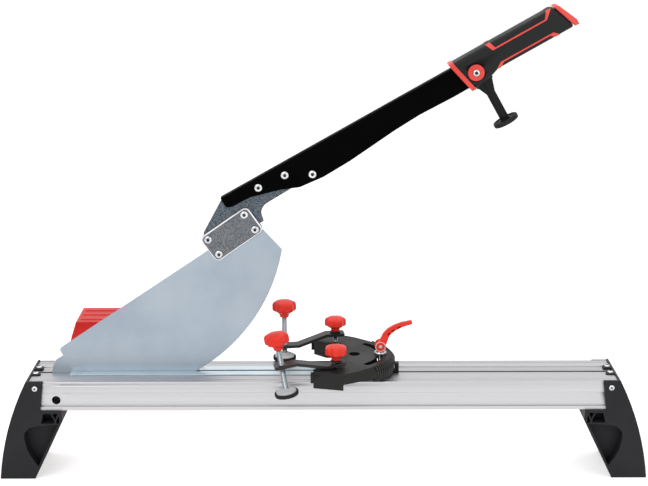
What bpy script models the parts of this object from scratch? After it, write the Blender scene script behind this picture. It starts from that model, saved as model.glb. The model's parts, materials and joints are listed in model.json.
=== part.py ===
"""Laminate flooring guillotine: bench, cutting arm, mitre gauge with two clamps, plank support.

Run with blender --background --python part.py. Metres, +Z up, floor at Z = 0, the table along X.
"""

from math import atan2, cos, pi, radians, sin, sqrt, tan

import bmesh
import bpy
from mathutils import Matrix, Vector

MM = 0.001

# Fits shared by every piece
GAP = 0.3 * MM
OVERRUN = 1.0 * MM
WELD = 0.002 * MM
HOLE_STEPS = 16

# Bench
TABLE_LENGTH = 740 * MM
TABLE_HEIGHT = 129 * MM
PROFILE_HEIGHT = 37.5 * MM
PROFILE_DEPTH = 37.5 * MM
PROFILE_WALL = 2.5 * MM
SLOT_WIDTH = 5 * MM
REBATE_WIDTH = 15 * MM
REBATE_DEPTH = 1.2 * MM
TOP_GROOVE_WIDTH = 1.2 * MM
TOP_GROOVE_DEPTH = 0.8 * MM
TOP_GROOVE_SETBACK = 8.5 * MM
FACE_BATTER = 0.8 * MM
FACE_STEP = 0.5 * MM
UPPER_FACET_HEIGHT = 14 * MM
SIDE_GROOVE_WIDTH = 2.6 * MM
SIDE_GROOVE_DEPTH = 1.2 * MM
SIDE_LIP_HEIGHT = 4.5 * MM
STRIP_WIDTH = 13 * MM
STRIP_THICKNESS = 2.1 * MM
STRIP_START = 48 * MM
STRIP_LENGTH = 334 * MM

# Feet
FOOT_TOP_REACH = 2.7 * MM
FOOT_SPREAD = 38.8 * MM
FOOT_BULGE = 6.4 * MM
FOOT_BASE_WIDTH = 44.5 * MM
FOOT_WALL = 3 * MM
FOOT_ROOF = 3.2 * MM
LEDGE_REACH = 40.5 * MM
HEEL_RELIEF_LENGTH = 5 * MM
HEEL_RELIEF_DEPTH = 2 * MM
LEDGE_LIP = 13 * MM
LEDGE_BATTER = 0.5 * MM
FLANGE_REACH = 19 * MM
FLANGE_TAPER = 5.5 * MM
FLANGE_RISE = 1.8 * MM
RIB_HEIGHT = 72 * MM
RIB_THICKNESS = 2.8 * MM
RECESS_DEPTH = 17 * MM
ARCH_SETBACK = 11 * MM
ARCH_WIDTH = 19.5 * MM
ARCH_FOOT_HEIGHT = 15.5 * MM
ARCH_SHARES = ((0, 1), (0.62, 0.95), (0.97, 0.82), (1, 0.68), (0.82, 0.40), (0.49, 0.18), (0.13, 0))
POCKET_SHARES = (
    ((0.09, 1), (0.22, 0.40), (0.38, 1)),
    ((0.02, 0.80), (0.17, 0.30), (0.17, 0), (0.02, 0)),
    ((0.28, 0), (0.98, 0), (0.84, 1), (0.47, 1), (0.28, 0.34)),
)
TAB_LENGTH = 10 * MM
TAB_WIDTH = 12 * MM
TAB_SETBACK = 2.7 * MM
TAB_THICKNESS = 2.2 * MM
SCREW_HEAD_DIAMETER = 7.3 * MM
SCREW_HEAD_HEIGHT = 2.2 * MM
SCREW_DIAMETER = 3.6 * MM
SCREW_LENGTH = 9 * MM
TAB_SCREW_INSET = 4.2 * MM
FLANGE_SCREW_INSET = 8.6 * MM
FLANGE_SCREW_DROP = 7.2 * MM
CROSS_WIDTH = 1.1 * MM
CROSS_SHARE = 0.6
HEAD_PROFILE_SHARES = ((1, 0), (1, 0.45), (0.82, 0.85), (0.55, 1), (0, 1))
DRIVE_DEPTH_SHARE = 0.6

# Cutting pivot
PIVOT_INSET = 34 * MM
PIVOT_DROP = 24 * MM
PIVOT_DIAMETER = 8 * MM
PIVOT_HEAD_DIAMETER = 13 * MM
PIVOT_HEAD_HEIGHT = 5.5 * MM
PIVOT_THREAD = 3 * MM
PIVOT_SOCKET_WIDTH = 6 * MM
BUSH_WALL = 2 * MM
ACCESS_DIAMETER = 11 * MM
OPEN_ANGLE = 29.5

# Blade, in the closed lever's frame with the pivot at 0
BLADE_THICKNESS = 4 * MM
BLADE_LUG_RADIUS = 12.3 * MM
EDGE_START_SHARE = 1.6
BLADE_NECK_X = 26.7 * MM
BLADE_NECK_Z = 48 * MM
BLADE_TOP_X = 327.5 * MM
BLADE_TOP_Z = 71 * MM
BLADE_TIP_X = 339.2 * MM
BLADE_TIP_Z = 22.9 * MM
BLADE_SHOULDER_SHARE = 0.33
EDGE_CENTRE_X = 160.6 * MM
EDGE_CENTRE_Z = 166.8 * MM
EDGE_RADIUS = 230.6 * MM
NECK_SHARES = ((0.99, 0.79), (0.56, 0.78), (0.34, 0.70), (0.09, 0.55))

# Joint plates that hold the blade to the lever bracket
PLATE_LENGTH = 72.5 * MM
PLATE_WIDTH = 38 * MM
PLATE_THICKNESS = 2.5 * MM
PLATE_CORNER = 6.5 * MM
PLATE_BEVEL = 0.8 * MM
PLATE_CENTRE_X = 294.9 * MM
PLATE_CENTRE_Z = 69.6 * MM
PLATE_TILT = 5.5
PLATE_BOLT_SPACING = 55.5 * MM
PLATE_BOLT_ROWS = 23 * MM
BOLT_HEAD_DIAMETER = 10 * MM
BOLT_HEAD_HEIGHT = 2.6 * MM
BOLT_DIAMETER = 6 * MM
SOCKET_WIDTH = 4 * MM
SOCKET_DEPTH = 1.4 * MM
NUT_HEIGHT = 3 * MM

# Lever bracket
BRACKET_THICKNESS = 4 * MM
BRACKET_TOP_X = 304.5 * MM
BRACKET_TOP_Z = 112.8 * MM
BRACKET_LEFT_X = 265.2 * MM
BRACKET_LEFT_Z = 88.4 * MM
BRACKET_TOE_X = 338 * MM
BRACKET_TOE_Z = 64.3 * MM
BRACKET_BEND_X = 340.2 * MM
BRACKET_BEND_Z = 74 * MM
BRACKET_BEND_BULGE = 2 * MM
BRACKET_LIFT = 0.4 * MM
BRACKET_END_X = 408 * MM
BRACKET_END_Z = 84 * MM
BRACKET_THROAT_X = 352.8 * MM
BRACKET_THROAT_Z = 82.1 * MM

# Channel lever
LEVER_START_X = 306.8 * MM
LEVER_TOP_Z = 116.6 * MM
LEVER_WIDTH = 15 * MM
LEVER_WALL = 2 * MM
LEVER_LENGTH = 326 * MM
LEVER_DEPTH = 40 * MM
LEVER_UNDERSIDE_SHARES = (
    (1, 0.78), (0.955, 0.785), (0.81, 0.755), (0.70, 0.80), (0.498, 0.953), (0.381, 0.985),
    (0.283, 0.905), (0.215, 0.68), (0.103, 0.433), (0.067, 0.413), (0.04, 0.415), (0.019, 0.398),
    (0.006, 0.36), (0.0, 0.3),
)
LEVER_TANG_LENGTH = 118 * MM
LEVER_TANG_DEPTH = 24 * MM
LEVER_BOLT_PLACES_SHARES = ((0.146, 0.286), (0.257, 0.346), (0.35, 0.741))
PACKING_LENGTH = 86 * MM
PACKING_DEPTH = 13.6 * MM
PACKING_INSET = 8 * MM

# Grip
GRIP_START_X = 640 * MM
GRIP_TOP_LENGTH = 131 * MM
GRIP_RAKE = 12 * MM
GRIP_HEIGHT = 32.5 * MM
GRIP_TOP_Z = 122.3 * MM
GRIP_WIDTH = 28 * MM
GRIP_ROUND = 4 * MM
GRIP_CHIN_DROP = 8 * MM
GRIP_CHIN_SHARES = (0.08, 0.22, 0.31)
GRIP_SLANT = 10 * MM
GRIP_LEAD = 4 * MM
COLLAR_WIDTH = 6 * MM
COLLAR_RIM = 1 * MM
CAP_THICKNESS = 6 * MM
CAP_RIM = 0.3 * MM
CAP_EDGE_SHARE = 0.6
DISC_DIAMETER = 20 * MM
DISC_THICKNESS = 2 * MM
DISC_INSET = 14.5 * MM
DISC_DROP = 23.5 * MM
GRIP_BOLT_HEAD = 8.5 * MM

# Stop post under the grip
STOP_PAD_DIAMETER = 32 * MM
STOP_PAD_HEIGHT = 6 * MM
STOP_PAD_RIM = 2.4 * MM
STOP_PAD_FLOOR = 3 * MM
STOP_PAD_INSET = 18.8 * MM
STOP_FIN = 2.6 * MM
STOP_FOOT_WIDTH = 11 * MM
STOP_HEEL_WIDTH = 14 * MM
STOP_WAIST_WIDTH = 11 * MM
STOP_ROOT_LEFT = 12.4 * MM
STOP_ROOT_RIGHT = 11 * MM
STOP_ROOT_DEPTH = 14 * MM
STOP_ROOT_HEIGHT = 15 * MM

# Mitre gauge
GAUGE_PIVOT_X = 23 * MM
GAUGE_TOP = 152 * MM
GAUGE_THICKNESS = 14 * MM
GAUGE_ROOF = 3.5 * MM
GAUGE_WALL = 3.5 * MM
FENCE_SETBACK = 35 * MM
FENCE_END_Y = 67 * MM
GAUGE_HALF_WIDTH = 76 * MM
GAUGE_WIDEST_X = 2 * MM
RIM_RADIUS = 68 * MM
RIM_HALF_ANGLE = 52
RIM_SLOPE = 5 * MM
RIM_SKIRT_DROP = 5 * MM
RIM_SKIRT_WIDTH = 8 * MM
RIM_SKIRT_ANGLE = 50
NOTCH_SIDE = 16 * MM
NOTCH_SETBACK = 11 * MM
BLOCK_INNER_Y = 45 * MM
BLOCK_DROP = 7.4 * MM
LIP_THICKNESS = 3.5 * MM
LIP_WIDTH = 8 * MM
LIP_HEIGHT = 12 * MM
ARC_SLOT_RADIUS = 50 * MM
ARC_SLOT_WIDTH = 8 * MM
ARC_SLOT_ANGLE = 50
ARC_SLOT_LAND = 4 * MM
SIGHT_HOLE_DIAMETER = 14.5 * MM
SIGHT_HOLE_X = 17 * MM
GAUGE_BOLT_DIAMETER = 8 * MM
GAUGE_BOLT_HEAD_DIAMETER = 14 * MM
GAUGE_BOLT_HEAD_HEIGHT = 3 * MM
BOSS_WALL = 2.5 * MM

# Carrier that holds the gauge on the table
CARRIER_BACK = 10 * MM
CARRIER_FRONT = 58 * MM
CARRIER_WIDTH = 28 * MM
TONGUE_WIDTH = 10 * MM
TONGUE_THICKNESS = 3.2 * MM
TONGUE_REACH = 15.6 * MM
POINTER_LENGTH = 5 * MM
POINTER_WIDTH = 8 * MM
POINTER_HEIGHT = 12.5 * MM
KEY_DEPTH = 10 * MM
CLAMP_PLATE_LENGTH = 40 * MM
CLAMP_PLATE_WIDTH = 30 * MM
CLAMP_PLATE_THICKNESS = 4 * MM

# Cam lever
STUD_DIAMETER = 6 * MM
SADDLE_DIAMETER = 16 * MM
SADDLE_THICKNESS = 3.5 * MM
SADDLE_SHARES = ((1, 0.6), (0.88, 1))
CAM_FORK_ANGLE = 50
CAM_HUB_RADIUS = 7.2 * MM
CAM_HUB_WIDTH = 12 * MM
CAM_ARM_WIDTH = 5.6 * MM
CAM_EYE_RADIUS = 4.6 * MM
CAM_EYE_SHARE = 0.9
CAM_PIN_DIAMETER = 4.6 * MM
CAM_ARM_REACH = 38 * MM
CAM_ARM_RISE = 31 * MM
CAM_ARM_SHARES = ((0.08, 0.14), (0.19, 0.47), (0.30, 0.63), (0.48, 0.78), (0.72, 0.91), (1, 1))
CAM_WIDTH_SHARES = (1, 0.86, 0.78, 0.68, 0.58, 0.46)
CAM_ARM_THICKNESS = 10 * MM
CAM_SLIT_LENGTH = 4.5 * MM
CAM_SLIT_WIDTH = 1.6 * MM

# Plank clamps
ARM_STUD_X = 7 * MM
ARM_STUD_Y = 50 * MM
ARM_LENGTH = 67 * MM
ARM_WIDTH = 16 * MM
ARM_THICKNESS = 4 * MM
ARM_DROP = 12.7 * MM
ARM_TAIL = 11.5 * MM
ARM_NOSE = 9 * MM
ARM_BEND_START_SHARE = 0.18
ARM_BEND_END_SHARE = 0.73
ARM_CORNER = 2 * MM
ARM_HOLE_SLACK = 1.3 * MM
REAR_ARM_LIFT = 8.6 * MM
REAR_ARM_YAW = 8.6
FRONT_ARM_LIFT = 2.4 * MM
FRONT_ARM_YAW = 10
FRONT_ARM_TILT = 9.5
ARM_WASHER_DIAMETER = 14 * MM
ARM_WASHER_THICKNESS = 1.5 * MM
ARM_STUD_REACH = 10 * MM
ARM_KNOB_DIAMETER = 28 * MM
ARM_KNOB_HEIGHT = 19 * MM
SPINDLE_DIAMETER = 7 * MM
SPINDLE_KNOB_DIAMETER = 31 * MM
SPINDLE_KNOB_HEIGHT = 22 * MM
KNOB_LOBES = 6
KNOB_STEPS_PER_LOBE = 6
KNOB_LOBE_SHARE = 0.09
KNOB_PROFILE_SHARES = (
    (0.36, 0, 0), (0.38, 0.30, 0.3), (0.60, 0.42, 0.8), (0.93, 0.50, 1), (1, 0.60, 1),
    (1, 0.78, 1), (0.90, 0.90, 0.9), (0.58, 0.98, 0.5),
)
PAD_DIAMETER = 30 * MM
PAD_RUBBER_HEIGHT = 5 * MM
PAD_RUBBER_RIM = 2 * MM
PAD_FLOOR = 2.5 * MM
PAD_CAP_DOME = 2.5 * MM
PAD_COLLAR_DIAMETER = 12 * MM
PAD_COLLAR_HEIGHT = 2.5 * MM
PAD_COLLAR_SHARE = 0.9
REAR_PAD_HEIGHT = 2.1 * MM
REAR_SPINDLE_LENGTH = 64.5 * MM
FRONT_PAD_DROP = 39 * MM
FRONT_SPINDLE_LENGTH = 67.5 * MM

# Plank support
SUPPORT_LENGTH = 160 * MM
SUPPORT_DEPTH = 68 * MM
SUPPORT_LEFT_INSET = 18 * MM
SUPPORT_GAP = 165 * MM
SUPPORT_SPREAD = 25 * MM
SUPPORT_BULGE = 5 * MM
SUPPORT_WALL = 3 * MM
SUPPORT_RIDGE_WIDTH = 5 * MM
SUPPORT_RIDGE_HEIGHT = 1.2 * MM
SUPPORT_RIDGE_SHARES = (0.2, 0.5, 0.8)

# Places worked out from the sizes above
HALF_TABLE = TABLE_LENGTH / 2
TAB_SCREW_X = HALF_TABLE - TAB_SCREW_INSET
HALF_SLOT = SLOT_WIDTH / 2
TABLE_EDGE = HALF_SLOT + PROFILE_DEPTH
TAB_SCREW_Y = HALF_SLOT + TAB_SETBACK + TAB_WIDTH / 2
FLANGE_SCREW_X = HALF_TABLE - FLANGE_SCREW_INSET
FLANGE_SCREW_Z = TABLE_HEIGHT - FLANGE_SCREW_DROP
TABLE_UNDERSIDE = TABLE_HEIGHT - PROFILE_HEIGHT
REBATE_FLOOR = TABLE_HEIGHT - REBATE_DEPTH
PIVOT_X = PIVOT_INSET - HALF_TABLE
PIVOT_Z = TABLE_HEIGHT - PIVOT_DROP
STRIP_X = STRIP_START - HALF_TABLE
GAUGE_UNDERSIDE = GAUGE_TOP - GAUGE_THICKNESS
CAM_Z = GAUGE_TOP + GAP + SADDLE_THICKNESS + GAP + CAM_HUB_RADIUS
GRIP_END_X = GRIP_START_X + GRIP_TOP_LENGTH
GRIP_BOTTOM_Z = GRIP_TOP_Z - GRIP_HEIGHT
FRONT_ROD_Y = ARM_STUD_Y + ARM_LENGTH * sin(radians(FRONT_ARM_YAW)) * cos(radians(FRONT_ARM_TILT))
FRONT_REACH = FRONT_ROD_Y + SPINDLE_KNOB_DIAMETER / 2
REAR_REACH = TABLE_EDGE + SUPPORT_GAP + SUPPORT_DEPTH
FRAME_Y = (FRONT_REACH - REAR_REACH) / 2

# Colour, roughness and metallic value of each finish
FINISHES = {
    "aluminium": ((0.66, 0.66, 0.69), 0.38, 1.0),
    "zinc": ((0.58, 0.63, 0.68), 0.3, 1.0),
    "black_plastic": ((0.035, 0.035, 0.038), 0.5, 0.0),
    "black_gloss": ((0.006, 0.006, 0.007), 0.18, 0.0),
    "gauge_plastic": ((0.055, 0.055, 0.053), 0.5, 0.0),
    "red_plastic": ((0.75, 0.06, 0.045), 0.35, 0.0),
    "spangled": ((0.16, 0.17, 0.19), 0.4, 1.0),
    "steel": ((0.72, 0.72, 0.73), 0.25, 1.0),
    "brass": ((0.6, 0.42, 0.18), 0.35, 1.0),
    "black_paint": ((0.03, 0.03, 0.03), 0.4, 0.0),
    "rubber": ((0.012, 0.012, 0.012), 0.8, 0.0),
    "grey_plastic": ((0.55, 0.55, 0.56), 0.5, 0.0),
}

PLANES = {"xz": (0, 2, 1), "yz": (1, 2, 0), "xy": (0, 1, 2)}


# Outlines

def rounded(corners, steps=3):
    """Outline through (u, v, radius) corners, each turned with its own radius."""
    outline = []
    for index, (u, v, radius) in enumerate(corners):
        corner = Vector((u, v))
        if not radius:
            outline.append((u, v))
            continue
        back = (Vector(corners[index - 1][:2]) - corner).normalized()
        ahead = (Vector(corners[(index + 1) % len(corners)][:2]) - corner).normalized()
        half = back.angle(ahead) / 2
        centre = corner + (back + ahead).normalized() * (radius / sin(half))
        start = corner + back * (radius / tan(half)) - centre
        sweep = -start.angle_signed(corner + ahead * (radius / tan(half)) - centre)
        first = atan2(start.y, start.x)
        for step in range(steps + 1):
            angle = first + sweep * step / steps
            outline.append((centre.x + radius * cos(angle), centre.y + radius * sin(angle)))
    return outline


def arc(centre, radius, first, last, steps):
    """Points on a circle from one angle in degrees to another."""
    angles = [radians(first + (last - first) * step / steps) for step in range(steps + 1)]
    return [(centre[0] + radius * cos(a), centre[1] + radius * sin(a)) for a in angles]


def circle(centre, radius, steps=HOLE_STEPS):
    """A closed round outline."""
    return arc(centre, radius, 0, 360, steps)[:-1]


def bowed(start, end, bulge, steps):
    """Points from start to end, bowed to the left of that way by the bulge."""
    start, end = Vector(start), Vector(end)
    way = end - start
    side = Vector((-way.y, way.x)).normalized()
    points = []
    for step in range(steps + 1):
        share = step / steps
        points.append(tuple(start + way * share + side * (bulge * 4 * share * (1 - share))))
    return points


def offset_path(points, distance):
    """The open path moved to its left by a distance."""
    moved = []
    for index, point in enumerate(points):
        before = Vector(points[max(index - 1, 0)])
        after = Vector(points[min(index + 1, len(points) - 1)])
        way = (after - before).normalized()
        moved.append((point[0] - way.y * distance, point[1] + way.x * distance))
    return moved


def spread(shares, corner, size):
    """Shares of a rectangle turned into points."""
    return [(corner[0] + u * size[0], corner[1] + v * size[1]) for u, v in shares]


def turned_about(points, centre, angle):
    """Points turned about a centre by an angle in degrees."""
    c, s = cos(radians(angle)), sin(radians(angle))
    return [
        (centre[0] + (u - centre[0]) * c - (v - centre[1]) * s,
         centre[1] + (u - centre[0]) * s + (v - centre[1]) * c)
        for u, v in points
    ]


def box_outline(low, high):
    """A rectangle from its low and high corners."""
    return [(low[0], low[1]), (high[0], low[1]), (high[0], high[1]), (low[0], high[1])]


# Solids

def prism(outline, low, high, plane="xz", holes=()):
    """A flat outline, with any holes, made solid from low to high across its plane."""
    order = PLANES[plane]
    solid = bmesh.new()
    edges = []
    for loop in (outline, *holes):
        verts = []
        for u, v in loop:
            place = [0.0, 0.0, 0.0]
            place[order[0]], place[order[1]], place[order[2]] = u, v, low
            verts.append(solid.verts.new(place))
        edges += [solid.edges.new((verts[i - 1], verts[i])) for i in range(len(verts))]
    bmesh.ops.triangle_fill(solid, edges=edges, use_beauty=True)
    if not holes:
        bmesh.ops.dissolve_limit(solid, angle_limit=radians(1), verts=[], edges=solid.edges[:])
    grown = bmesh.ops.extrude_face_region(solid, geom=solid.faces[:])["geom"]
    lift = Vector((0, 0, 0))
    lift[order[2]] = high - low
    bmesh.ops.translate(solid, verts=[g for g in grown if isinstance(g, bmesh.types.BMVert)], vec=lift)
    bmesh.ops.recalc_face_normals(solid, faces=solid.faces[:])
    return solid


def block(low, high):
    """A box between two corners."""
    return prism(box_outline(low[:2], high[:2]), low[2], high[2], "xy")


def turned(profile, steps=24, ring=False, axis="z"):
    """A profile of (radius, height) points turned about the axis; a ring profile closes on itself."""
    solid = bmesh.new()
    rings = []
    for radius, height in profile:
        if radius == 0:
            rings.append([solid.verts.new((0, 0, height))])
            continue
        rings.append([solid.verts.new((x, y, height)) for x, y in circle((0, 0), radius, steps)])
    pairs = list(zip(rings, rings[1:]))
    if ring:
        pairs.append((rings[-1], rings[0]))
    for lower, upper in pairs:
        for i in range(steps):
            j = (i + 1) % steps
            below, above = len(lower), len(upper)
            corners = [lower[i % below], lower[j % below], upper[j % above], upper[i % above]]
            solid.faces.new(list(dict.fromkeys(corners)))
    if not ring:
        for loop in (rings[0], rings[-1]):
            if len(loop) > 1:
                solid.faces.new(loop)
    if axis == "y":
        bmesh.ops.rotate(solid, verts=solid.verts[:], matrix=Matrix.Rotation(radians(-90), 3, "X"))
    bmesh.ops.recalc_face_normals(solid, faces=solid.faces[:])
    return solid


def moved(solid, offset, angle=0, axis="Z"):
    """The solid turned about an axis through 0 and then moved."""
    bmesh.ops.rotate(solid, verts=solid.verts[:], matrix=Matrix.Rotation(radians(angle), 3, axis))
    bmesh.ops.translate(solid, verts=solid.verts[:], vec=Vector(offset))
    return solid


def stand_in(solid):
    """A short-lived object that holds a solid for a Boolean."""
    mesh = bpy.data.meshes.new("stand_in")
    solid.to_mesh(mesh)
    solid.free()
    holder = bpy.data.objects.new("stand_in", mesh)
    bpy.context.scene.collection.objects.link(holder)
    return holder


def combined(base, others, operation):
    """The base after one exact Boolean with each of the others."""
    for other in others:
        kept, used = stand_in(base), stand_in(other)
        step = kept.modifiers.new("combine", "BOOLEAN")
        step.operation = operation
        step.solver = "EXACT"
        step.object = used
        base = bmesh.new()
        base.from_object(kept, bpy.context.evaluated_depsgraph_get())
        for holder in (kept, used):
            mesh = holder.data
            bpy.data.objects.remove(holder)
            bpy.data.meshes.remove(mesh)
        bmesh.ops.remove_doubles(base, verts=base.verts[:], dist=WELD)
        bmesh.ops.dissolve_limit(base, angle_limit=radians(0.2), verts=base.verts[:], edges=base.edges[:])
    return base


def carved(base, *cutters):
    """The base with every cutter taken out."""
    return combined(base, cutters, "DIFFERENCE")


def fused(base, *others):
    """The base with every other solid joined on."""
    return combined(base, others, "UNION")


def bevelled(solid, chosen, width, segments=1):
    """The solid with its chosen edges bevelled."""
    edges = [edge for edge in solid.edges if chosen(edge)]
    bmesh.ops.bevel(
        solid, geom=edges, offset=width, segments=segments, profile=0.5, affect="EDGES", clamp_overlap=True
    )
    return solid


def rims(low, high, axis):
    """Chooses the edges that lie wholly in one of two end planes and bound it."""
    def chosen(edge):
        levels = [vert.co[axis] for vert in edge.verts]
        level = levels[0] if abs(levels[0] - levels[1]) < WELD else None
        on_end = level is not None and (abs(level - low) < WELD or abs(level - high) < WELD)
        return on_end and len(edge.link_faces) == 2 and edge.calc_face_angle() > radians(30)
    return chosen


# Scene objects

def finish_material(name, finish):
    """A Principled material of its own for one node."""
    colour, roughness, metallic = FINISHES[finish]
    material = bpy.data.materials.new(name)
    material.use_nodes = True
    shader = material.node_tree.nodes["Principled BSDF"]
    shader.inputs["Base Color"].default_value = (*colour, 1)
    shader.inputs["Roughness"].default_value = roughness
    shader.inputs["Metallic"].default_value = metallic
    return material


def node(name, solid, finish, parent, smooth=30):
    """A named piece under a parent, with faces that meet gently shaded smooth."""
    mesh = bpy.data.meshes.new(name)
    bmesh.ops.triangulate(solid, faces=solid.faces[:], ngon_method="BEAUTY")
    bmesh.ops.dissolve_degenerate(solid, dist=WELD, edges=solid.edges[:])
    solid.to_mesh(mesh)
    solid.free()
    mesh.materials.append(finish_material(name, finish))
    mesh.shade_smooth()
    mesh.set_sharp_from_angle(angle=radians(smooth))
    piece = bpy.data.objects.new(name, mesh)
    piece.parent = parent
    bpy.context.scene.collection.objects.link(piece)
    return piece


def joint_empty(name, parent, location=(0, 0, 0), rotation=(0, 0, 0)):
    """An empty on a joint's axis."""
    empty = bpy.data.objects.new(name, None)
    empty.parent = parent
    empty.location = location
    empty.rotation_euler = [radians(angle) for angle in rotation]
    empty.empty_display_size = PIVOT_HEAD_DIAMETER
    bpy.context.scene.collection.objects.link(empty)
    return empty


# Fasteners

def screw_solid(head_diameter, head_height, shank_diameter, length, drive, nut=0):
    """A button-head screw along Z with its seat at 0, the head above and the shank below."""
    head, shank = head_diameter / 2, shank_diameter / 2
    profile = [(0, -length), (shank, -length)]
    if nut:
        profile = [(0, -length), (head, -length), (head, nut - length), (shank, nut - length)]
    profile += [(shank, 0), *spread(HEAD_PROFILE_SHARES, (0, 0), (head, head_height))]
    solid = turned(profile, HOLE_STEPS)
    floor = head_height - min(SOCKET_DEPTH, head_height * DRIVE_DEPTH_SHARE)
    top = head_height + OVERRUN
    if drive == "hex":
        return carved(solid, prism(circle((0, 0), SOCKET_WIDTH / sqrt(3), 6), floor, top, "xy"))
    arm, half = head * CROSS_SHARE, CROSS_WIDTH / 2
    cross = [(half, half), (half, arm), (-half, arm), (-half, half), (-arm, half), (-arm, -half)]
    cross += [(-half, -half), (-half, -arm), (half, -arm), (half, -half), (arm, -half), (arm, half)]
    return carved(solid, prism(cross, floor, top, "xy"))


def facing_front(solid, x, y, z):
    """A screw made along Z turned so that its head looks at the viewer's side, -Y."""
    return moved(solid, (x, y, z), 90, "X")


# Bench

def profile_outline(side):
    """Cross-section (y, z) of one table profile; side is 1 for the rear one and -1 for the front one."""
    inner, outer = HALF_SLOT, TABLE_EDGE
    groove = outer - TOP_GROOVE_SETBACK
    facet = TABLE_HEIGHT - UPPER_FACET_HEIGHT
    groove_top = TABLE_UNDERSIDE + SIDE_LIP_HEIGHT + SIDE_GROOVE_WIDTH
    points = [
        (inner, TABLE_UNDERSIDE), (inner, REBATE_FLOOR), (inner + REBATE_WIDTH, REBATE_FLOOR),
        (inner + REBATE_WIDTH, TABLE_HEIGHT),
        (groove - TOP_GROOVE_WIDTH, TABLE_HEIGHT),
        (groove - TOP_GROOVE_WIDTH, TABLE_HEIGHT - TOP_GROOVE_DEPTH),
        (groove, TABLE_HEIGHT - TOP_GROOVE_DEPTH), (groove, TABLE_HEIGHT),
        (outer - FACE_BATTER - FACE_STEP, TABLE_HEIGHT), (outer - FACE_BATTER, TABLE_HEIGHT - FACE_STEP),
        (outer, facet), (outer - FACE_STEP, facet - FACE_STEP), (outer - FACE_STEP, groove_top),
        (outer - FACE_STEP - SIDE_GROOVE_DEPTH, groove_top - SIDE_GROOVE_WIDTH / 3),
        (outer - FACE_STEP - SIDE_GROOVE_DEPTH, groove_top - SIDE_GROOVE_WIDTH * 2 / 3),
        (outer, TABLE_UNDERSIDE + SIDE_LIP_HEIGHT), (outer, TABLE_UNDERSIDE),
    ]
    return [(side * y, z) for y, z in points]


def chamber_outline(side):
    """The hollow inside a table profile."""
    low = TABLE_UNDERSIDE + PROFILE_WALL
    high = REBATE_FLOOR - PROFILE_WALL
    inner = HALF_SLOT + PROFILE_WALL
    outer = TABLE_EDGE - FACE_BATTER - SIDE_GROOVE_DEPTH - PROFILE_WALL
    return [(side * y, z) for y, z in box_outline((inner, low), (outer, high))]


def bench(frame):
    """The two profiles and the wear strips beside the slot."""
    for name, side in (("front", -1), ("rear", 1)):
        solid = prism(
            profile_outline(side), -HALF_TABLE, HALF_TABLE, "yz", holes=[chamber_outline(side)]
        )
        slot_wall = sorted((side * (HALF_SLOT - OVERRUN), side * (HALF_SLOT + PROFILE_WALL + OVERRUN)))
        outer_wall = sorted((side * (TABLE_EDGE + OVERRUN), side * (TABLE_EDGE - PROFILE_WALL * 3)))
        pivot = (PIVOT_X, PIVOT_Z)
        cutters = [
            prism(circle(pivot, PIVOT_DIAMETER / 2 + GAP), *slot_wall),
            prism(circle(pivot, ACCESS_DIAMETER / 2), *outer_wall),
        ]
        bore = SCREW_DIAMETER / 2 + GAP
        for end in (-1, 1):
            cutters.append(prism(circle((end * FLANGE_SCREW_X, FLANGE_SCREW_Z), bore), *outer_wall))
            tab_bore = circle((end * TAB_SCREW_X, side * TAB_SCREW_Y), bore)
            cutters.append(prism(tab_bore, REBATE_FLOOR - PROFILE_WALL - OVERRUN, TABLE_HEIGHT, "xy"))
        node(f"{name}_profile", carved(solid, *cutters), "aluminium", frame)
        low, high = sorted((side * HALF_SLOT, side * (HALF_SLOT + STRIP_WIDTH)))
        seat = REBATE_FLOOR + GAP
        strip = block((STRIP_X, low, seat), (STRIP_X + STRIP_LENGTH, high, seat + STRIP_THICKNESS))
        node(f"{name}_wear_strip", strip, "zinc", frame)


# Feet, worked out for the right end and mirrored by side

def foot_outer():
    """The foot's outer curve from the top down to the floor."""
    top = (HALF_TABLE + FOOT_TOP_REACH, TABLE_HEIGHT + FLANGE_RISE)
    return bowed(top, (top[0] + FOOT_SPREAD, 0), FOOT_BULGE, 8)


def foot_diagonal():
    """The foot's inner slope from the floor up to the ledge's lip."""
    base = HALF_TABLE + FOOT_TOP_REACH + FOOT_SPREAD - FOOT_BASE_WIDTH
    lip = TABLE_UNDERSIDE - GAP - LEDGE_LIP
    return [(base, 0), (HALF_TABLE - LEDGE_REACH - LEDGE_BATTER, lip)]


def foot_arch():
    """The arch cut into the foot's front and rear faces, from the rib down to the slope."""
    corner = (HALF_TABLE - ARCH_SETBACK, ARCH_FOOT_HEIGHT)
    return spread(ARCH_SHARES, corner, (ARCH_WIDTH, RIB_HEIGHT - ARCH_FOOT_HEIGHT))


def foot_recess(arch_growth):
    """The triangular recess between the rib, the arch and the slope."""
    slope = offset_path(foot_diagonal(), -FOOT_WALL)
    way = Vector(slope[1]) - Vector(slope[0])
    low = Vector(slope[0]) + way * (ARCH_FOOT_HEIGHT / way.y)
    high = Vector(slope[0]) + way * (RIB_HEIGHT / way.y)
    arch = offset_path(foot_arch(), arch_growth)
    return [*arch, tuple(low), tuple(high)]


def foot_cavity():
    """The hollow of the leg between its outer wall and the arch, open to the floor."""
    roof = TABLE_UNDERSIDE - GAP - FOOT_ROOF
    outer = [p for p in offset_path(foot_outer(), -FOOT_WALL) if p[1] < roof]
    inner = offset_path(foot_arch(), FOOT_WALL)
    flange = HALF_TABLE - FLANGE_REACH + FLANGE_TAPER + FOOT_WALL
    base = foot_diagonal()[0][0] + FOOT_WALL + GAP
    outer[-1] = (outer[-1][0], -OVERRUN)
    outer.insert(0, (outer[0][0] - FOOT_WALL, roof))
    ledge = RIB_HEIGHT + RIB_THICKNESS
    return [*outer, (base, -OVERRUN), *reversed(inner[1:]), (flange, ledge), (flange, roof)]


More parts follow.
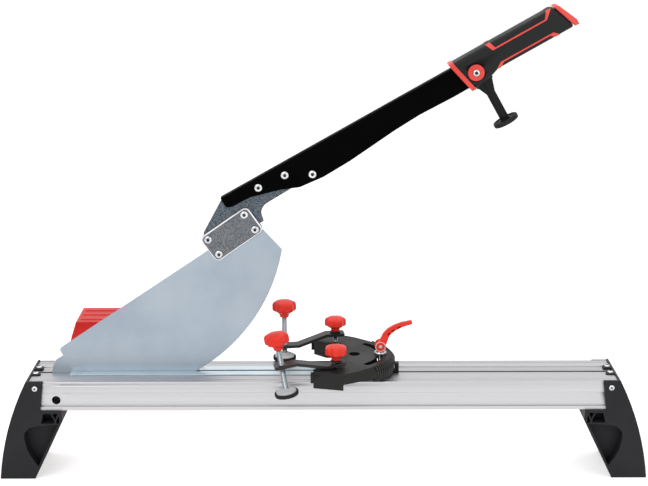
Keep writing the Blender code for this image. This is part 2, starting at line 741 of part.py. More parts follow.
def foot(name, side, frame):
    """One moulded foot: ledge, flanges, tabs and hollow leg in one piece."""
    def mirrored(points):
        return [(side * x, z) for x, z in points]

    half = TABLE_EDGE + GAP + FOOT_WALL
    ledge = TABLE_UNDERSIDE - GAP
    top = TABLE_HEIGHT + FLANGE_RISE
    flange_top = HALF_TABLE - FLANGE_REACH
    outline = [
        *foot_outer(), *foot_diagonal(), (HALF_TABLE - LEDGE_REACH, ledge),
        (flange_top + FLANGE_TAPER, ledge), (flange_top, top),
    ]
    solid = prism(mirrored(outline), -half, half)
    reach_start = side * (HALF_TABLE - LEDGE_REACH - OVERRUN)
    reach = sorted((reach_start, side * (HALF_TABLE + GAP)))
    web = half - RECESS_DEPTH
    relief = sorted((reach_start, side * (HALF_TABLE - LEDGE_REACH + HEEL_RELIEF_LENGTH)))
    relief_half = HALF_SLOT + GAP * 2
    cutters = [
        block(
            (relief[0], -relief_half, ledge - HEEL_RELIEF_DEPTH), (relief[1], relief_half, ledge + OVERRUN)
        ),
        block((reach[0], FOOT_WALL - half, ledge), (reach[1], half - FOOT_WALL, top + OVERRUN)),
        prism(mirrored(foot_cavity()), FOOT_WALL - half, half - FOOT_WALL),
        prism(mirrored(foot_recess(FOOT_WALL + OVERRUN)), FOOT_WALL - web, web - FOOT_WALL),
    ]
    pocket = (HALF_TABLE - LEDGE_REACH + FOOT_WALL, RIB_HEIGHT + RIB_THICKNESS)
    pocket_size = (flange_top + FLANGE_TAPER - pocket[0], ledge - FOOT_ROOF - pocket[1])
    for low, high in ((-half - OVERRUN, -web), (web, half + OVERRUN)):
        cutters.append(prism(mirrored(foot_recess(0)), low, high))
        for shares in POCKET_SHARES:
            cutters.append(prism(mirrored(spread(shares, pocket, pocket_size)), low, high))
    solid = carved(solid, *cutters)
    tabs = []
    for direction in (-1, 1):
        edge = HALF_SLOT + TAB_SETBACK
        inner, outer = sorted((direction * edge, direction * (edge + TAB_WIDTH)))
        start, end = HALF_TABLE - TAB_LENGTH, HALF_TABLE + FOOT_TOP_REACH
        corner = TAB_WIDTH / 3
        corners = [(start, inner, corner), (end, inner, 0), (end, outer, 0), (start, outer, corner)]
        base = REBATE_FLOOR + GAP
        tabs.append(prism(mirrored(rounded(corners)), base, base + TAB_THICKNESS, "xy"))
    bore = SCREW_DIAMETER / 2 + GAP
    holes = [prism(circle((side * FLANGE_SCREW_X, FLANGE_SCREW_Z), bore), -half - OVERRUN, half + OVERRUN)]
    for direction in (-1, 1):
        tab_bore = circle((side * TAB_SCREW_X, direction * TAB_SCREW_Y), bore)
        holes.append(prism(tab_bore, REBATE_FLOOR, top + OVERRUN, "xy"))
    node(name, carved(fused(solid, *tabs), *holes), "black_plastic", frame)


def foot_screws(foot_name, side, frame):
    """The tab screws and the front flange screw of one foot."""
    sizes = (SCREW_HEAD_DIAMETER, SCREW_HEAD_HEIGHT, SCREW_DIAMETER, SCREW_LENGTH, "cross")
    seat = REBATE_FLOOR + GAP + TAB_THICKNESS + GAP
    for word, direction in (("front", -1), ("rear", 1)):
        solid = moved(screw_solid(*sizes), (side * TAB_SCREW_X, direction * TAB_SCREW_Y, seat))
        node(f"{foot_name}_{word}_tab_screw", solid, "steel", frame)
    seat = TABLE_EDGE + GAP + FOOT_WALL + GAP
    solid = facing_front(screw_solid(*sizes), side * FLANGE_SCREW_X, -seat, FLANGE_SCREW_Z)
    node(f"{foot_name}_flange_screw", solid, "steel", frame)


# Cutting pivot

def cutting_pivot(frame):
    """The bolt through both slot walls, its nut and the bush that the blade turns on."""
    place = (PIVOT_X, 0, PIVOT_Z)
    seat = HALF_SLOT + PROFILE_WALL + GAP
    end = seat + PIVOT_HEAD_HEIGHT + PIVOT_THREAD
    shank, head = PIVOT_DIAMETER / 2, PIVOT_HEAD_DIAMETER / 2
    profile = [(0, -end), (shank, -end), (shank, seat), (head, seat), (head, seat + PIVOT_HEAD_HEIGHT)]
    bolt = turned([*profile, (0, seat + PIVOT_HEAD_HEIGHT)])
    hexagon = prism(
        circle((0, 0), PIVOT_SOCKET_WIDTH / sqrt(3), 6), seat + PIVOT_HEAD_HEIGHT / 2, end, "xy"
    )
    node("pivot_bolt", facing_front(carved(bolt, hexagon), *place), "steel", frame)
    bore = shank + GAP
    nut = prism(
        circle((0, 0), head, 6), -seat - PIVOT_HEAD_HEIGHT, -seat, "xy", holes=[circle((0, 0), bore)]
    )
    node("pivot_nut", facing_front(nut, *place), "steel", frame)
    half = BLADE_THICKNESS / 2
    ring = [(bore, -half), (bore + BUSH_WALL, -half), (bore + BUSH_WALL, half), (bore, half)]
    node("pivot_bush", facing_front(turned(ring, HOLE_STEPS, ring=True), *place), "brass", frame)


# Cutting arm, drawn closed about the pivot and carried by an empty that is raised

def edge_height(x):
    """Height of the blade's cutting edge under the closed lever at x."""
    return EDGE_CENTRE_Z - sqrt(EDGE_RADIUS ** 2 - (x - EDGE_CENTRE_X) ** 2)


def blade(arm):
    """The blade with its curved edge and the lug round the pivot."""
    lug = arc((0, 0), BLADE_LUG_RADIUS, 120, 268, 8)
    start, steps = BLADE_LUG_RADIUS * EDGE_START_SHARE, 30
    edge = []
    for step in range(steps):
        x = start + (BLADE_TIP_X - start) * (step + 1) / steps
        edge.append((x, edge_height(x)))
    edge[-1] = (BLADE_TIP_X, edge_height(BLADE_TIP_X))
    side = Vector((BLADE_TOP_X - BLADE_TIP_X, BLADE_TOP_Z - BLADE_TIP_Z))
    shoulder_z = BLADE_TOP_Z - BLADE_SHOULDER_SHARE * side.y
    shoulder = (BLADE_TIP_X - (BLADE_TIP_X - BLADE_TOP_X) * (1 - BLADE_SHOULDER_SHARE), shoulder_z)
    corner = PLATE_CORNER / 2
    ends = ((BLADE_TOP_X, BLADE_TOP_Z, 0), (BLADE_NECK_X, BLADE_NECK_Z, corner), (BLADE_NECK_X, 0, 0))
    top = rounded(ends)[:-1]
    neck = spread(NECK_SHARES, (0, 0), (BLADE_NECK_X, BLADE_NECK_Z))
    outline = [*edge, shoulder, *top, *neck, *lug]
    bore = PIVOT_DIAMETER / 2 + GAP + BUSH_WALL + GAP
    holes = [circle((0, 0), bore)]
    holes += [circle(place, BOLT_DIAMETER / 2 + GAP) for place in plate_bolts() if place[1] < PLATE_CENTRE_Z]
    half = BLADE_THICKNESS / 2
    node("blade", prism(outline, -half, half, holes=holes), "zinc", arm)


def plate_bolts():
    """Places of the four bolts of the joint plates."""
    centre = (PLATE_CENTRE_X, PLATE_CENTRE_Z)
    u, v = PLATE_BOLT_SPACING / 2, PLATE_BOLT_ROWS / 2
    corners = [(centre[0] + a * u, centre[1] + b * v) for a in (-1, 1) for b in (-1, 1)]
    return turned_about(corners, centre, PLATE_TILT)


def joint_plates(arm):
    """The bevelled plates on both sides of the blade and bracket, with their bolts."""
    centre = (PLATE_CENTRE_X, PLATE_CENTRE_Z)
    u, v, r = PLATE_LENGTH / 2, PLATE_WIDTH / 2, PLATE_CORNER
    corners = [
        (centre[0] - u, centre[1] - v, r), (centre[0] + u, centre[1] - v, r),
        (centre[0] + u, centre[1] + v, r), (centre[0] - u, centre[1] + v, r),
    ]
    outline = turned_about(rounded(corners, 4), centre, PLATE_TILT)
    holes = [circle(place, BOLT_DIAMETER / 2 + GAP) for place in plate_bolts()]
    near = BLADE_THICKNESS / 2 + GAP
    far = near + PLATE_THICKNESS
    for name, low, high, face in (("front", -far, -near, -far), ("rear", near, far, far)):
        solid = prism(outline, low, high, holes=holes)
        outer_rim = rims(face, face, 1)

        def on_outline(edge):
            middle = (edge.verts[0].co + edge.verts[1].co) / 2
            return outer_rim(edge) and all(
                Vector((middle.x - x, middle.z - z)).length > BOLT_DIAMETER for x, z in plate_bolts()
            )
        node(f"{name}_joint_plate", bevelled(solid, on_outline, PLATE_BEVEL), "spangled", arm)
    seat = far + GAP
    length = 2 * seat + NUT_HEIGHT
    words = ("lower_left", "upper_left", "lower_right", "upper_right")
    for word, (x, z) in zip(words, plate_bolts()):
        solid = nutted_bolt(BOLT_HEAD_DIAMETER, seat, length)
        node(f"plate_bolt_{word}", facing_front(solid, x, 0, z), "steel", arm)


def nutted_bolt(head_diameter, seat, length):
    """A button-head bolt with its nut run up, centred on the plates that it clamps."""
    solid = screw_solid(head_diameter, BOLT_HEAD_HEIGHT, BOLT_DIAMETER, length, "hex", NUT_HEIGHT)
    return moved(solid, (0, 0, seat))


def lever_outline():
    """Side view of the channel lever from its bracket end to the end of its tang."""
    end = LEVER_START_X + LEVER_LENGTH
    top = LEVER_TOP_Z
    under = spread(
        [(u, -v) for u, v in LEVER_UNDERSIDE_SHARES], (LEVER_START_X, top), (LEVER_LENGTH, LEVER_DEPTH)
    )
    tang_end = end + LEVER_TANG_LENGTH
    step, low = end + COLLAR_WIDTH * 2, top - LEVER_TANG_DEPTH
    tang = [(tang_end, top), (tang_end, low), (step, low)]
    return [(LEVER_START_X, top), *tang, (step, under[0][1]), *under]


def lever_bolt_places():
    """Places of the three bolts through the channel."""
    shares = [(u, -v) for u, v in LEVER_BOLT_PLACES_SHARES]
    return spread(shares, (LEVER_START_X, LEVER_TOP_Z), (LEVER_LENGTH, LEVER_DEPTH))


def lever(arm):
    """The folded channel, open below, and the bolts through it."""
    half = LEVER_WIDTH / 2
    outline = lever_outline()
    tang_end = LEVER_START_X + LEVER_LENGTH + LEVER_TANG_LENGTH
    hollow = box_outline(
        (LEVER_START_X - OVERRUN, LEVER_TOP_Z - LEVER_DEPTH * 2),
        (tang_end + OVERRUN, LEVER_TOP_Z - LEVER_WALL),
    )
    places = [*lever_bolt_places(), grip_bolt_place()]
    bores = [circle(place, BOLT_DIAMETER / 2 + GAP, 12) for place in places]
    solid = prism(outline, -half, half, holes=bores)
    solid = carved(solid, prism(hollow, LEVER_WALL - half, half - LEVER_WALL))
    node("lever", solid, "black_gloss", arm)
    seat = half + GAP
    for word, (x, z) in zip(("left", "middle", "right"), lever_bolt_places()):
        solid = nutted_bolt(BOLT_HEAD_DIAMETER, seat, 2 * seat + NUT_HEIGHT)
        node(f"lever_bolt_{word}", facing_front(solid, x, 0, z), "steel", arm)


def bracket(arm):
    """The flat bracket between the joint plates and the channel, with the packing beside it."""
    slope = (BLADE_TOP_Z - BLADE_NECK_Z) / (BLADE_TOP_X - BLADE_NECK_X)
    lift = BLADE_TOP_Z + BRACKET_LIFT

    def above_blade(x):
        return lift + (x - BLADE_TOP_X) * slope

    start = (BRACKET_LEFT_X - BOLT_HEAD_DIAMETER / 2, above_blade(BRACKET_LEFT_X - BOLT_HEAD_DIAMETER / 2))
    end_lean = (BLADE_TIP_X - BLADE_TOP_X) / (BLADE_TOP_Z - BLADE_TIP_Z)
    heel = BLADE_TOP_X + GAP * 2 + (BLADE_TOP_Z - BRACKET_TOE_Z) * end_lean
    throat = (BRACKET_THROAT_X, BRACKET_THROAT_Z)
    packing_top = LEVER_TOP_Z - LEVER_WALL - GAP
    outline = [
        start, (BLADE_TOP_X + GAP * 2, above_blade(BLADE_TOP_X)), (heel, BRACKET_TOE_Z),
        (BRACKET_TOE_X, BRACKET_TOE_Z),
        *bowed((BRACKET_BEND_X, BRACKET_BEND_Z), throat, BRACKET_BEND_BULGE, 6),
        (BRACKET_END_X, BRACKET_END_Z), (BRACKET_END_X, packing_top), (LEVER_START_X, packing_top),
        (BRACKET_TOP_X, BRACKET_TOP_Z), (BRACKET_LEFT_X, BRACKET_LEFT_Z),
        (start[0], start[1] + PLATE_CORNER),
    ]
    bores = [place for place in plate_bolts() if place[1] > PLATE_CENTRE_Z] + lever_bolt_places()[:2]
    holes = [circle(place, BOLT_DIAMETER / 2 + GAP) for place in bores]
    half = BRACKET_THICKNESS / 2
    node("lever_bracket", prism(outline, -half, half, holes=holes), "spangled", arm)
    near, far = half + GAP, LEVER_WIDTH / 2 - LEVER_WALL - GAP
    low = (LEVER_START_X + PACKING_INSET, packing_top - PACKING_DEPTH)
    high = (low[0] + PACKING_LENGTH, packing_top)
    holes = [circle(place, BOLT_DIAMETER / 2 + GAP, 12) for place in lever_bolt_places()[:2]]
    for word, side in (("front", -1), ("rear", 1)):
        ends = sorted((side * near, side * far))
        solid = prism(box_outline(low, high), *ends, holes=holes)
        node(f"lever_packing_{word}", solid, "steel", arm)


def grip_bolt_place():
    """Centre of the red disc on the grip."""
    return (GRIP_START_X + DISC_INSET, GRIP_TOP_Z - DISC_DROP)


def grip(arm):
    """The moulded grip, its red collar, end cap and disc, and the bolt through them."""
    half = GRIP_WIDTH / 2
    start, top, low = GRIP_START_X, GRIP_TOP_Z, GRIP_BOTTOM_Z
    bottom_end = GRIP_END_X + GRIP_RAKE
    chin = [start + share * GRIP_TOP_LENGTH for share in GRIP_CHIN_SHARES]
    drop = low - GRIP_CHIN_DROP
    outline = [
        (start - GRIP_LEAD, top), (GRIP_END_X, top), (bottom_end, low), (chin[2], low),
        (chin[1], low - GRIP_CHIN_DROP / 2), (chin[0], drop), (start - GRIP_LEAD + GRIP_SLANT, drop),
    ]
    inside = LEVER_WIDTH / 2 + GAP
    lever_end = LEVER_START_X + LEVER_LENGTH
    tang_end = lever_end + LEVER_TANG_LENGTH + GAP
    tang_low = LEVER_TOP_Z - LEVER_TANG_DEPTH - GAP
    step_end = lever_end + COLLAR_WIDTH * 2 + GAP
    step_low = LEVER_TOP_Z - LEVER_UNDERSIDE_SHARES[0][1] * LEVER_DEPTH - GAP
    seat = [
        (start - GRIP_SLANT, LEVER_TOP_Z + GAP), (tang_end, LEVER_TOP_Z + GAP), (tang_end, tang_low),
        (step_end, tang_low), (step_end, step_low), (start - GRIP_SLANT, step_low),
    ]
    solid = prism(outline, -half, half)

    def lengthwise(edge):
        on_side = all(abs(abs(vert.co.y) - half) < WELD for vert in edge.verts)
        on_front = all(vert.co.x < chin[0] - WELD for vert in edge.verts)
        return on_side and not on_front and edge.calc_face_angle() > radians(30)
    solid = bevelled(solid, lengthwise, GRIP_ROUND, 3)
    x, z = grip_bolt_place()
    pocket = DISC_THICKNESS / 2
    bore = circle((x, z), BOLT_DIAMETER / 2 + GAP)
    cutters = [prism(seat, -inside, inside), prism(bore, -half * 2, half * 2)]
    for side in (-1, 1):
        ends = sorted((side * (half - pocket), side * (half + OVERRUN)))
        cutters.append(prism(circle((x, z), DISC_DIAMETER / 2 + GAP, 24), *ends))
    node("grip", carved(solid, *cutters), "black_plastic", arm)
    for word, side in (("front", -1), ("rear", 1)):
        ends = sorted((side * (half - pocket + GAP), side * (half - pocket + GAP + DISC_THICKNESS)))
        solid = prism(circle((x, z), DISC_DIAMETER / 2, 24), *ends, holes=[bore])
        outside = max(ends, key=abs)
        solid = bevelled(solid, rims(outside, outside, 1), DISC_THICKNESS / 4)
        node(f"grip_disc_{word}", solid, "red_plastic", arm)
    seat_y = half - pocket + GAP + DISC_THICKNESS + GAP
    solid = nutted_bolt(GRIP_BOLT_HEAD, seat_y, 2 * seat_y + NUT_HEIGHT)
    node("grip_bolt", facing_front(solid, x, 0, z), "steel", arm)
    grip_collar(arm, half, drop)
    grip_end_cap(arm, half, bottom_end)


def grip_collar(arm, half, drop):
    """The red ring between the lever and the grip."""
    end = GRIP_START_X - GAP
    wide = half + COLLAR_RIM
    section = rounded([
        (-wide, drop - COLLAR_RIM, GRIP_ROUND), (wide, drop - COLLAR_RIM, GRIP_ROUND),
        (wide, GRIP_TOP_Z + COLLAR_RIM, GRIP_ROUND), (-wide, GRIP_TOP_Z + COLLAR_RIM, GRIP_ROUND),
    ])
    inside = LEVER_WIDTH / 2 + GAP
    low = LEVER_TOP_Z - LEVER_UNDERSIDE_SHARES[0][1] * LEVER_DEPTH - GAP * 3
    hole = box_outline((-inside, low), (inside, LEVER_TOP_Z + GAP))
    solid = prism(section, end - COLLAR_WIDTH, end, "yz", holes=[hole])
    for vert in solid.verts:
        vert.co.x += GRIP_SLANT - GRIP_LEAD - GRIP_SLANT * (vert.co.z - drop) / (GRIP_TOP_Z - drop)
    node("grip_collar", solid, "red_plastic", arm)


def grip_end_cap(arm, half, bottom_end):
    """The slanted red cap on the grip's end."""
    wide = half + CAP_RIM
    face = GRIP_END_X + GAP * 2
    outline = [
        (face, GRIP_TOP_Z - CAP_RIM), (face + CAP_THICKNESS * CAP_EDGE_SHARE, GRIP_TOP_Z - CAP_RIM),
        (face + CAP_THICKNESS, GRIP_TOP_Z - CAP_THICKNESS / 3),
        (bottom_end + CAP_THICKNESS, GRIP_BOTTOM_Z + CAP_THICKNESS),
        (bottom_end + CAP_THICKNESS, GRIP_BOTTOM_Z), (bottom_end + GAP * 2, GRIP_BOTTOM_Z),
    ]
    solid = prism(outline, -wide, wide)
    solid = bevelled(solid, rims(-wide, wide, 1), CAP_THICKNESS / 4, 2)
    node("grip_end_cap", solid, "red_plastic", arm)


def stop_post(arm):
    """The ribbed post that lands on the table, and its round pad."""
    x = GRIP_START_X + STOP_PAD_INSET
    radius = STOP_PAD_DIAMETER / 2
    low = TABLE_HEIGHT - PIVOT_Z + GAP
    floor, rim = low + STOP_PAD_FLOOR, low + STOP_PAD_HEIGHT
    inner = radius - STOP_PAD_RIM
    profile = [
        (0, low), (radius - STOP_PAD_RIM / 2, low), (radius, low + STOP_PAD_RIM / 2), (radius, rim),
        (inner, rim), (inner, floor), (0, floor),
    ]
    node("stop_pad", moved(turned(profile, 28), (x, 0, 0)), "rubber", arm)
    foot_z = floor + GAP
    chin_x = [GRIP_START_X + share * GRIP_TOP_LENGTH for share in GRIP_CHIN_SHARES[:2]]
    chin_z = GRIP_BOTTOM_Z - GRIP_CHIN_DROP
    slope = GRIP_CHIN_DROP / 2 / (chin_x[1] - chin_x[0])

    def under_chin(at):
        return chin_z - GAP + max(at - chin_x[0], 0) * slope

    foot_half, waist = STOP_FOOT_WIDTH / 2, STOP_WAIST_WIDTH / 2
    left, right = x - STOP_ROOT_LEFT, x + STOP_ROOT_RIGHT
    root_z = under_chin(left) - STOP_ROOT_HEIGHT
    seat = [(left, under_chin(left)), (chin_x[0], under_chin(chin_x[0])), (right, under_chin(right))]
    front = [
        (x - foot_half, foot_z), (x + foot_half, foot_z), (x + waist, root_z),
        *reversed(seat), (x - waist, root_z),
    ]
    side = [(-foot_half, foot_z), (foot_half, foot_z), (waist, under_chin(x)), (-waist, under_chin(x))]
    heel = STOP_HEEL_WIDTH / 2
    disc = [(0, foot_z), (heel, foot_z), (heel, foot_z + STOP_FIN), (0, foot_z + STOP_FIN)]
    flange = [*seat, *[(at, z - STOP_FIN) for at, z in reversed(seat)]]
    solid = fused(
        prism(front, -STOP_FIN / 2, STOP_FIN / 2),
        prism(side, x - STOP_FIN / 2, x + STOP_FIN / 2, "yz"),
        prism(flange, -STOP_ROOT_DEPTH / 2, STOP_ROOT_DEPTH / 2),
        moved(turned(disc, HOLE_STEPS), (x, 0, 0)),
    )
    node("stop_stem", solid, "black_plastic", arm)


# Mitre gauge, drawn about its pivot

def gauge_outline(inset=0):
    """Plan of the gauge body, drawn in from its edge by an inset."""
    diagonal = NOTCH_SIDE * sqrt(2) + inset * sqrt(2)
    face = inset - FENCE_SETBACK
    bottom = inset - NOTCH_SETBACK
    left = [(face, FENCE_END_Y - inset), (GAUGE_WIDEST_X, GAUGE_HALF_WIDTH - inset)]
    notch = [(face, diagonal - face), (bottom, diagonal - bottom)]
    rim = arc((0, 0), RIM_RADIUS - inset, RIM_HALF_ANGLE, -RIM_HALF_ANGLE, 26)
    below = [(x, -y) for x, y in reversed(left)] + [(x, -y) for x, y in notch]
    return [*left, *rim, *below, *reversed(notch)]


def sector(radius_in, radius_out, angle, steps):
    """A ring sector, open by an angle each way about +X."""
    return [
        *arc((0, 0), radius_out, -angle, angle, steps), *arc((0, 0), radius_in, angle, -angle, steps),
    ]


def arc_slot(radius, width, angle):
    """The curved slot with its round ends."""
    outline = []
    outline += arc((0, 0), radius + width / 2, -angle, angle, 20)
    end = (radius * cos(radians(angle)), radius * sin(radians(angle)))
    outline += arc(end, width / 2, angle, angle + 180, 6)[1:-1]
    outline += arc((0, 0), radius - width / 2, angle, -angle, 20)
    start = (end[0], -end[1])
    outline += arc(start, width / 2, 180 - angle, 360 - angle, 6)[1:-1]
    return outline


def arm_studs():
    """Places of the two clamp studs about the gauge's pivot."""
    return [(-ARM_STUD_X, -ARM_STUD_Y), (-ARM_STUD_X, ARM_STUD_Y)]


def gauge_body(gauge):
    """The moulded body: fence with its notch, end blocks, sloped rim and ribbed hollow underside."""
    top, under = GAUGE_TOP, GAUGE_UNDERSIDE
    solid = prism(gauge_outline(), under, top, "xy")

    def on_rim(edge):
        return all(
            abs(vert.co.z - top) < WELD and abs(vert.co.xy.length - RIM_RADIUS) < WELD for vert in edge.verts
        )
    solid = bevelled(solid, on_rim, RIM_SLOPE)
    additions = [
        prism(
            sector(RIM_RADIUS - RIM_SKIRT_WIDTH, RIM_RADIUS - GAP, RIM_SKIRT_ANGLE, 20),
            under - RIM_SKIRT_DROP, under + OVERRUN, "xy",
        )
    ]
    for side in (-1, 1):
        corners = [
            (-FENCE_SETBACK, side * BLOCK_INNER_Y + side * (NOTCH_SIDE - OVERRUN)),
            (-FENCE_SETBACK, side * FENCE_END_Y), (GAUGE_WIDEST_X, side * GAUGE_HALF_WIDTH),
            (GAUGE_WIDEST_X, side * BLOCK_INNER_Y), (NOTCH_SIDE - FENCE_SETBACK, side * BLOCK_INNER_Y),
        ]
        additions.append(prism(corners, under - BLOCK_DROP, under + OVERRUN, "xy"))
        lip = sorted((side * FENCE_END_Y, side * (FENCE_END_Y - LIP_WIDTH)))
        additions.append(block(
            (-FENCE_SETBACK - LIP_THICKNESS, lip[0], under - OVERRUN),
            (OVERRUN - FENCE_SETBACK, lip[1], under - OVERRUN + LIP_HEIGHT),
        ))
    solid = fused(solid, *additions)
    pivot_bore, stud_bore = GAUGE_BOLT_DIAMETER / 2 + GAP, STUD_DIAMETER / 2 + GAP
    islands = [circle((0, 0), pivot_bore + BOSS_WALL)]
    islands += [circle(place, stud_bore + BOSS_WALL) for place in arm_studs()]
    islands.append(arc_slot(ARC_SLOT_RADIUS, ARC_SLOT_WIDTH + ARC_SLOT_LAND, ARC_SLOT_ANGLE))
    slot = arc_slot(ARC_SLOT_RADIUS, ARC_SLOT_WIDTH, ARC_SLOT_ANGLE)
    cutters = [
        prism(gauge_outline(GAUGE_WALL), under - OVERRUN, top - GAUGE_ROOF, "xy", holes=islands),
        prism(slot, under - OVERRUN, top + OVERRUN, "xy"),
        prism(circle((SIGHT_HOLE_X, 0), SIGHT_HOLE_DIAMETER / 2, 20), under, top + OVERRUN, "xy"),
        prism(circle((0, 0), pivot_bore), under - OVERRUN, top + OVERRUN, "xy"),
    ]
    for place in arm_studs():
        cutters.append(prism(circle(place, stud_bore), under - OVERRUN, top + OVERRUN, "xy"))
    node("gauge_body", carved(solid, *cutters), "gauge_plastic", gauge)


def gauge_carrier(frame):
    """The fixed carrier under the gauge, its pointer, and the plate that clamps it to the table."""
    seat = REBATE_FLOOR + GAP
    top = GAUGE_UNDERSIDE - GAP
    half, tongue, key = CARRIER_WIDTH / 2, TONGUE_WIDTH / 2, HALF_SLOT - GAP
    pointer = POINTER_WIDTH / 2
    back, front = GAUGE_PIVOT_X - CARRIER_BACK, GAUGE_PIVOT_X + CARRIER_FRONT
    tip = front + TONGUE_REACH
    solid = fused(
        block((back, -half, seat), (front, half, top)),
        block((front - OVERRUN, -tongue, seat), (tip, tongue, seat + TONGUE_THICKNESS)),
        block((tip - POINTER_LENGTH, -pointer, seat + OVERRUN), (tip, pointer, seat + POINTER_HEIGHT)),
        block((back, -key, seat - KEY_DEPTH), (front, key, seat + OVERRUN)),
    )
    cam_x = GAUGE_PIVOT_X + ARC_SLOT_RADIUS
    bores = [(GAUGE_PIVOT_X, GAUGE_BOLT_DIAMETER / 2 + GAP), (cam_x, STUD_DIAMETER / 2 + GAP)]
    cutters = [prism(circle((x, 0), radius), seat + OVERRUN, top + OVERRUN, "xy") for x, radius in bores]
    node("gauge_carrier", carved(solid, *cutters), "gauge_plastic", frame)
    middle = (back + front) / 2
    low, high = middle - CLAMP_PLATE_LENGTH / 2, middle + CLAMP_PLATE_LENGTH / 2
    width = CLAMP_PLATE_WIDTH / 2
    plate_top = TABLE_UNDERSIDE - GAP
    plate = fused(
        block((low, -width, plate_top - CLAMP_PLATE_THICKNESS), (high, width, plate_top)),
        block((low, -key, plate_top - OVERRUN), (high, key, seat - KEY_DEPTH - GAP)),
    )
    node("gauge_clamp_plate", plate, "steel", frame)


def gauge_bolt(frame):
    """The low bolt that the gauge swivels on, seated in the carrier."""
    seat = GAUGE_TOP + GAP
    length = seat - REBATE_FLOOR - GAP - OVERRUN - GAP
    solid = screw_solid(GAUGE_BOLT_HEAD_DIAMETER, GAUGE_BOLT_HEAD_HEIGHT, GAUGE_BOLT_DIAMETER, length, "hex")
    node("gauge_pivot_bolt", moved(solid, (GAUGE_PIVOT_X, 0, seat)), "steel", frame)


def cam_clamp(frame, cam):
    """The stud, its saddle washer, and the red cam lever with its pin."""
    x = GAUGE_PIVOT_X + ARC_SLOT_RADIUS
    low = REBATE_FLOOR + GAP + OVERRUN + GAP
    radius = STUD_DIAMETER / 2
    eye_radius = CAM_EYE_RADIUS - GAP
    rod = turned([(0, low), (radius, low), (radius, CAM_Z - radius / 2), (0, CAM_Z - radius / 2)], HOLE_STEPS)
    flat = radius * CAM_EYE_SHARE
    eye = turned([(0, -flat), (eye_radius, -flat), (eye_radius, flat), (0, flat)], HOLE_STEPS, axis="y")
    eye = moved(eye, (0, 0, CAM_Z))
    pin_bore = CAM_PIN_DIAMETER / 2 + GAP
    stud = carved(fused(rod, eye), prism(circle((0, CAM_Z), pin_bore), -CAM_HUB_WIDTH, CAM_HUB_WIDTH))
    node("cam_stud", moved(stud, (x, 0, 0)), "steel", frame)
    washer_low = GAUGE_TOP + GAP
    outer, bore = SADDLE_DIAMETER / 2, radius + GAP
    rim = spread(SADDLE_SHARES, (0, washer_low), (outer, SADDLE_THICKNESS))
    ring = [(bore, washer_low), (outer, washer_low), *rim, (bore, washer_low + SADDLE_THICKNESS)]
    node("cam_washer", moved(turned(ring, 20, ring=True), (x, 0, 0)), "steel", frame)
    cam_lever(cam)
    half, shank = CAM_HUB_WIDTH / 2, CAM_PIN_DIAMETER / 2
    pin = turned([(0, -half), (shank, -half), (shank, half), (0, half)], HOLE_STEPS, axis="y")
    node("cam_pin", pin, "steel", cam)


def cam_lever(cam):
    """The forked hub and the curved red arm, drawn about the pin."""
    half, thin = CAM_HUB_WIDTH / 2, CAM_ARM_WIDTH / 2
    centre_line = spread(CAM_ARM_SHARES, (0, 0), (CAM_ARM_REACH, CAM_ARM_RISE))
    widths = [share * CAM_ARM_THICKNESS / 2 for share in CAM_WIDTH_SHARES]
    left = [offset_path(centre_line, width)[i] for i, width in enumerate(widths)]
    right = [offset_path(centre_line, -width)[i] for i, width in enumerate(widths)]
    end = centre_line[-1]
    way = Vector(end) - Vector(centre_line[-2])
    heading = atan2(way.y, way.x) * 180 / pi
    tip = arc(end, widths[-1], heading - 90, heading + 90, 6)[1:-1]
    slits = []
    for first, second in zip(centre_line[1:4], centre_line[2:5]):
        along = (Vector(second) - Vector(first)).normalized()
        across = Vector((along.y, -along.x))
        middle = (Vector(first) + Vector(second)) / 2 + across * CAM_SLIT_WIDTH
        a, b = along * CAM_SLIT_LENGTH / 2, across * CAM_SLIT_WIDTH / 2
        slits.append([tuple(middle + p) for p in (-a - b, a - b, a + b, -a + b)])
    arm_solid = prism([*right, *tip, *reversed(left)], -thin, thin, holes=slits)
    hub = prism(circle((0, 0), CAM_HUB_RADIUS, 28), -half, half)
    gap_half = STUD_DIAMETER / 2 + GAP
    reach = CAM_HUB_RADIUS + OVERRUN
    heading = atan2(CAM_ARM_SHARES[1][1] * CAM_ARM_RISE, CAM_ARM_SHARES[1][0] * CAM_ARM_REACH) * 180 / pi
    first, last = heading + CAM_FORK_ANGLE, heading - CAM_FORK_ANGLE
    fork = [*arc((0, 0), reach, first, last + 360, 24), *arc((0, 0), CAM_EYE_RADIUS, last, first, 8)]
    bore = circle((0, 0), CAM_PIN_DIAMETER / 2 + GAP)
    solid = fused(hub, arm_solid)
    solid = carved(
        solid, prism(fork, -gap_half, gap_half), prism(circle((0, 0), CAM_EYE_RADIUS), -gap_half, gap_half),
        prism(bore, -CAM_HUB_WIDTH, CAM_HUB_WIDTH),
    )
    node("cam_lever", solid, "red_plastic", cam)


# Plank clamps

def knob_solid(diameter, height):
    """A lobed knob standing on 0 with its hub down."""
    steps = KNOB_LOBES * KNOB_STEPS_PER_LOBE
    solid = bmesh.new()
    rings = []
    for radius_share, height_share, lobe_share in KNOB_PROFILE_SHARES:
        ring = []
        for step in range(steps):
            angle = 2 * pi * step / steps
            dip = KNOB_LOBE_SHARE * lobe_share * (1 - cos(KNOB_LOBES * angle)) / 2
            radius = diameter / 2 * radius_share * (1 - dip)
            ring.append(solid.verts.new((radius * cos(angle), radius * sin(angle), height * height_share)))
        rings.append(ring)
    for lower, upper in zip(rings, rings[1:]):
        for i in range(steps):
            solid.faces.new((lower[i - 1], lower[i], upper[i], upper[i - 1]))
    crown = solid.verts.new((0, 0, height))
    for i in range(steps):
        solid.faces.new((rings[-1][i - 1], rings[-1][i], crown))
    solid.faces.new(rings[0])
    bmesh.ops.recalc_face_normals(solid, faces=solid.faces[:])
    return solid


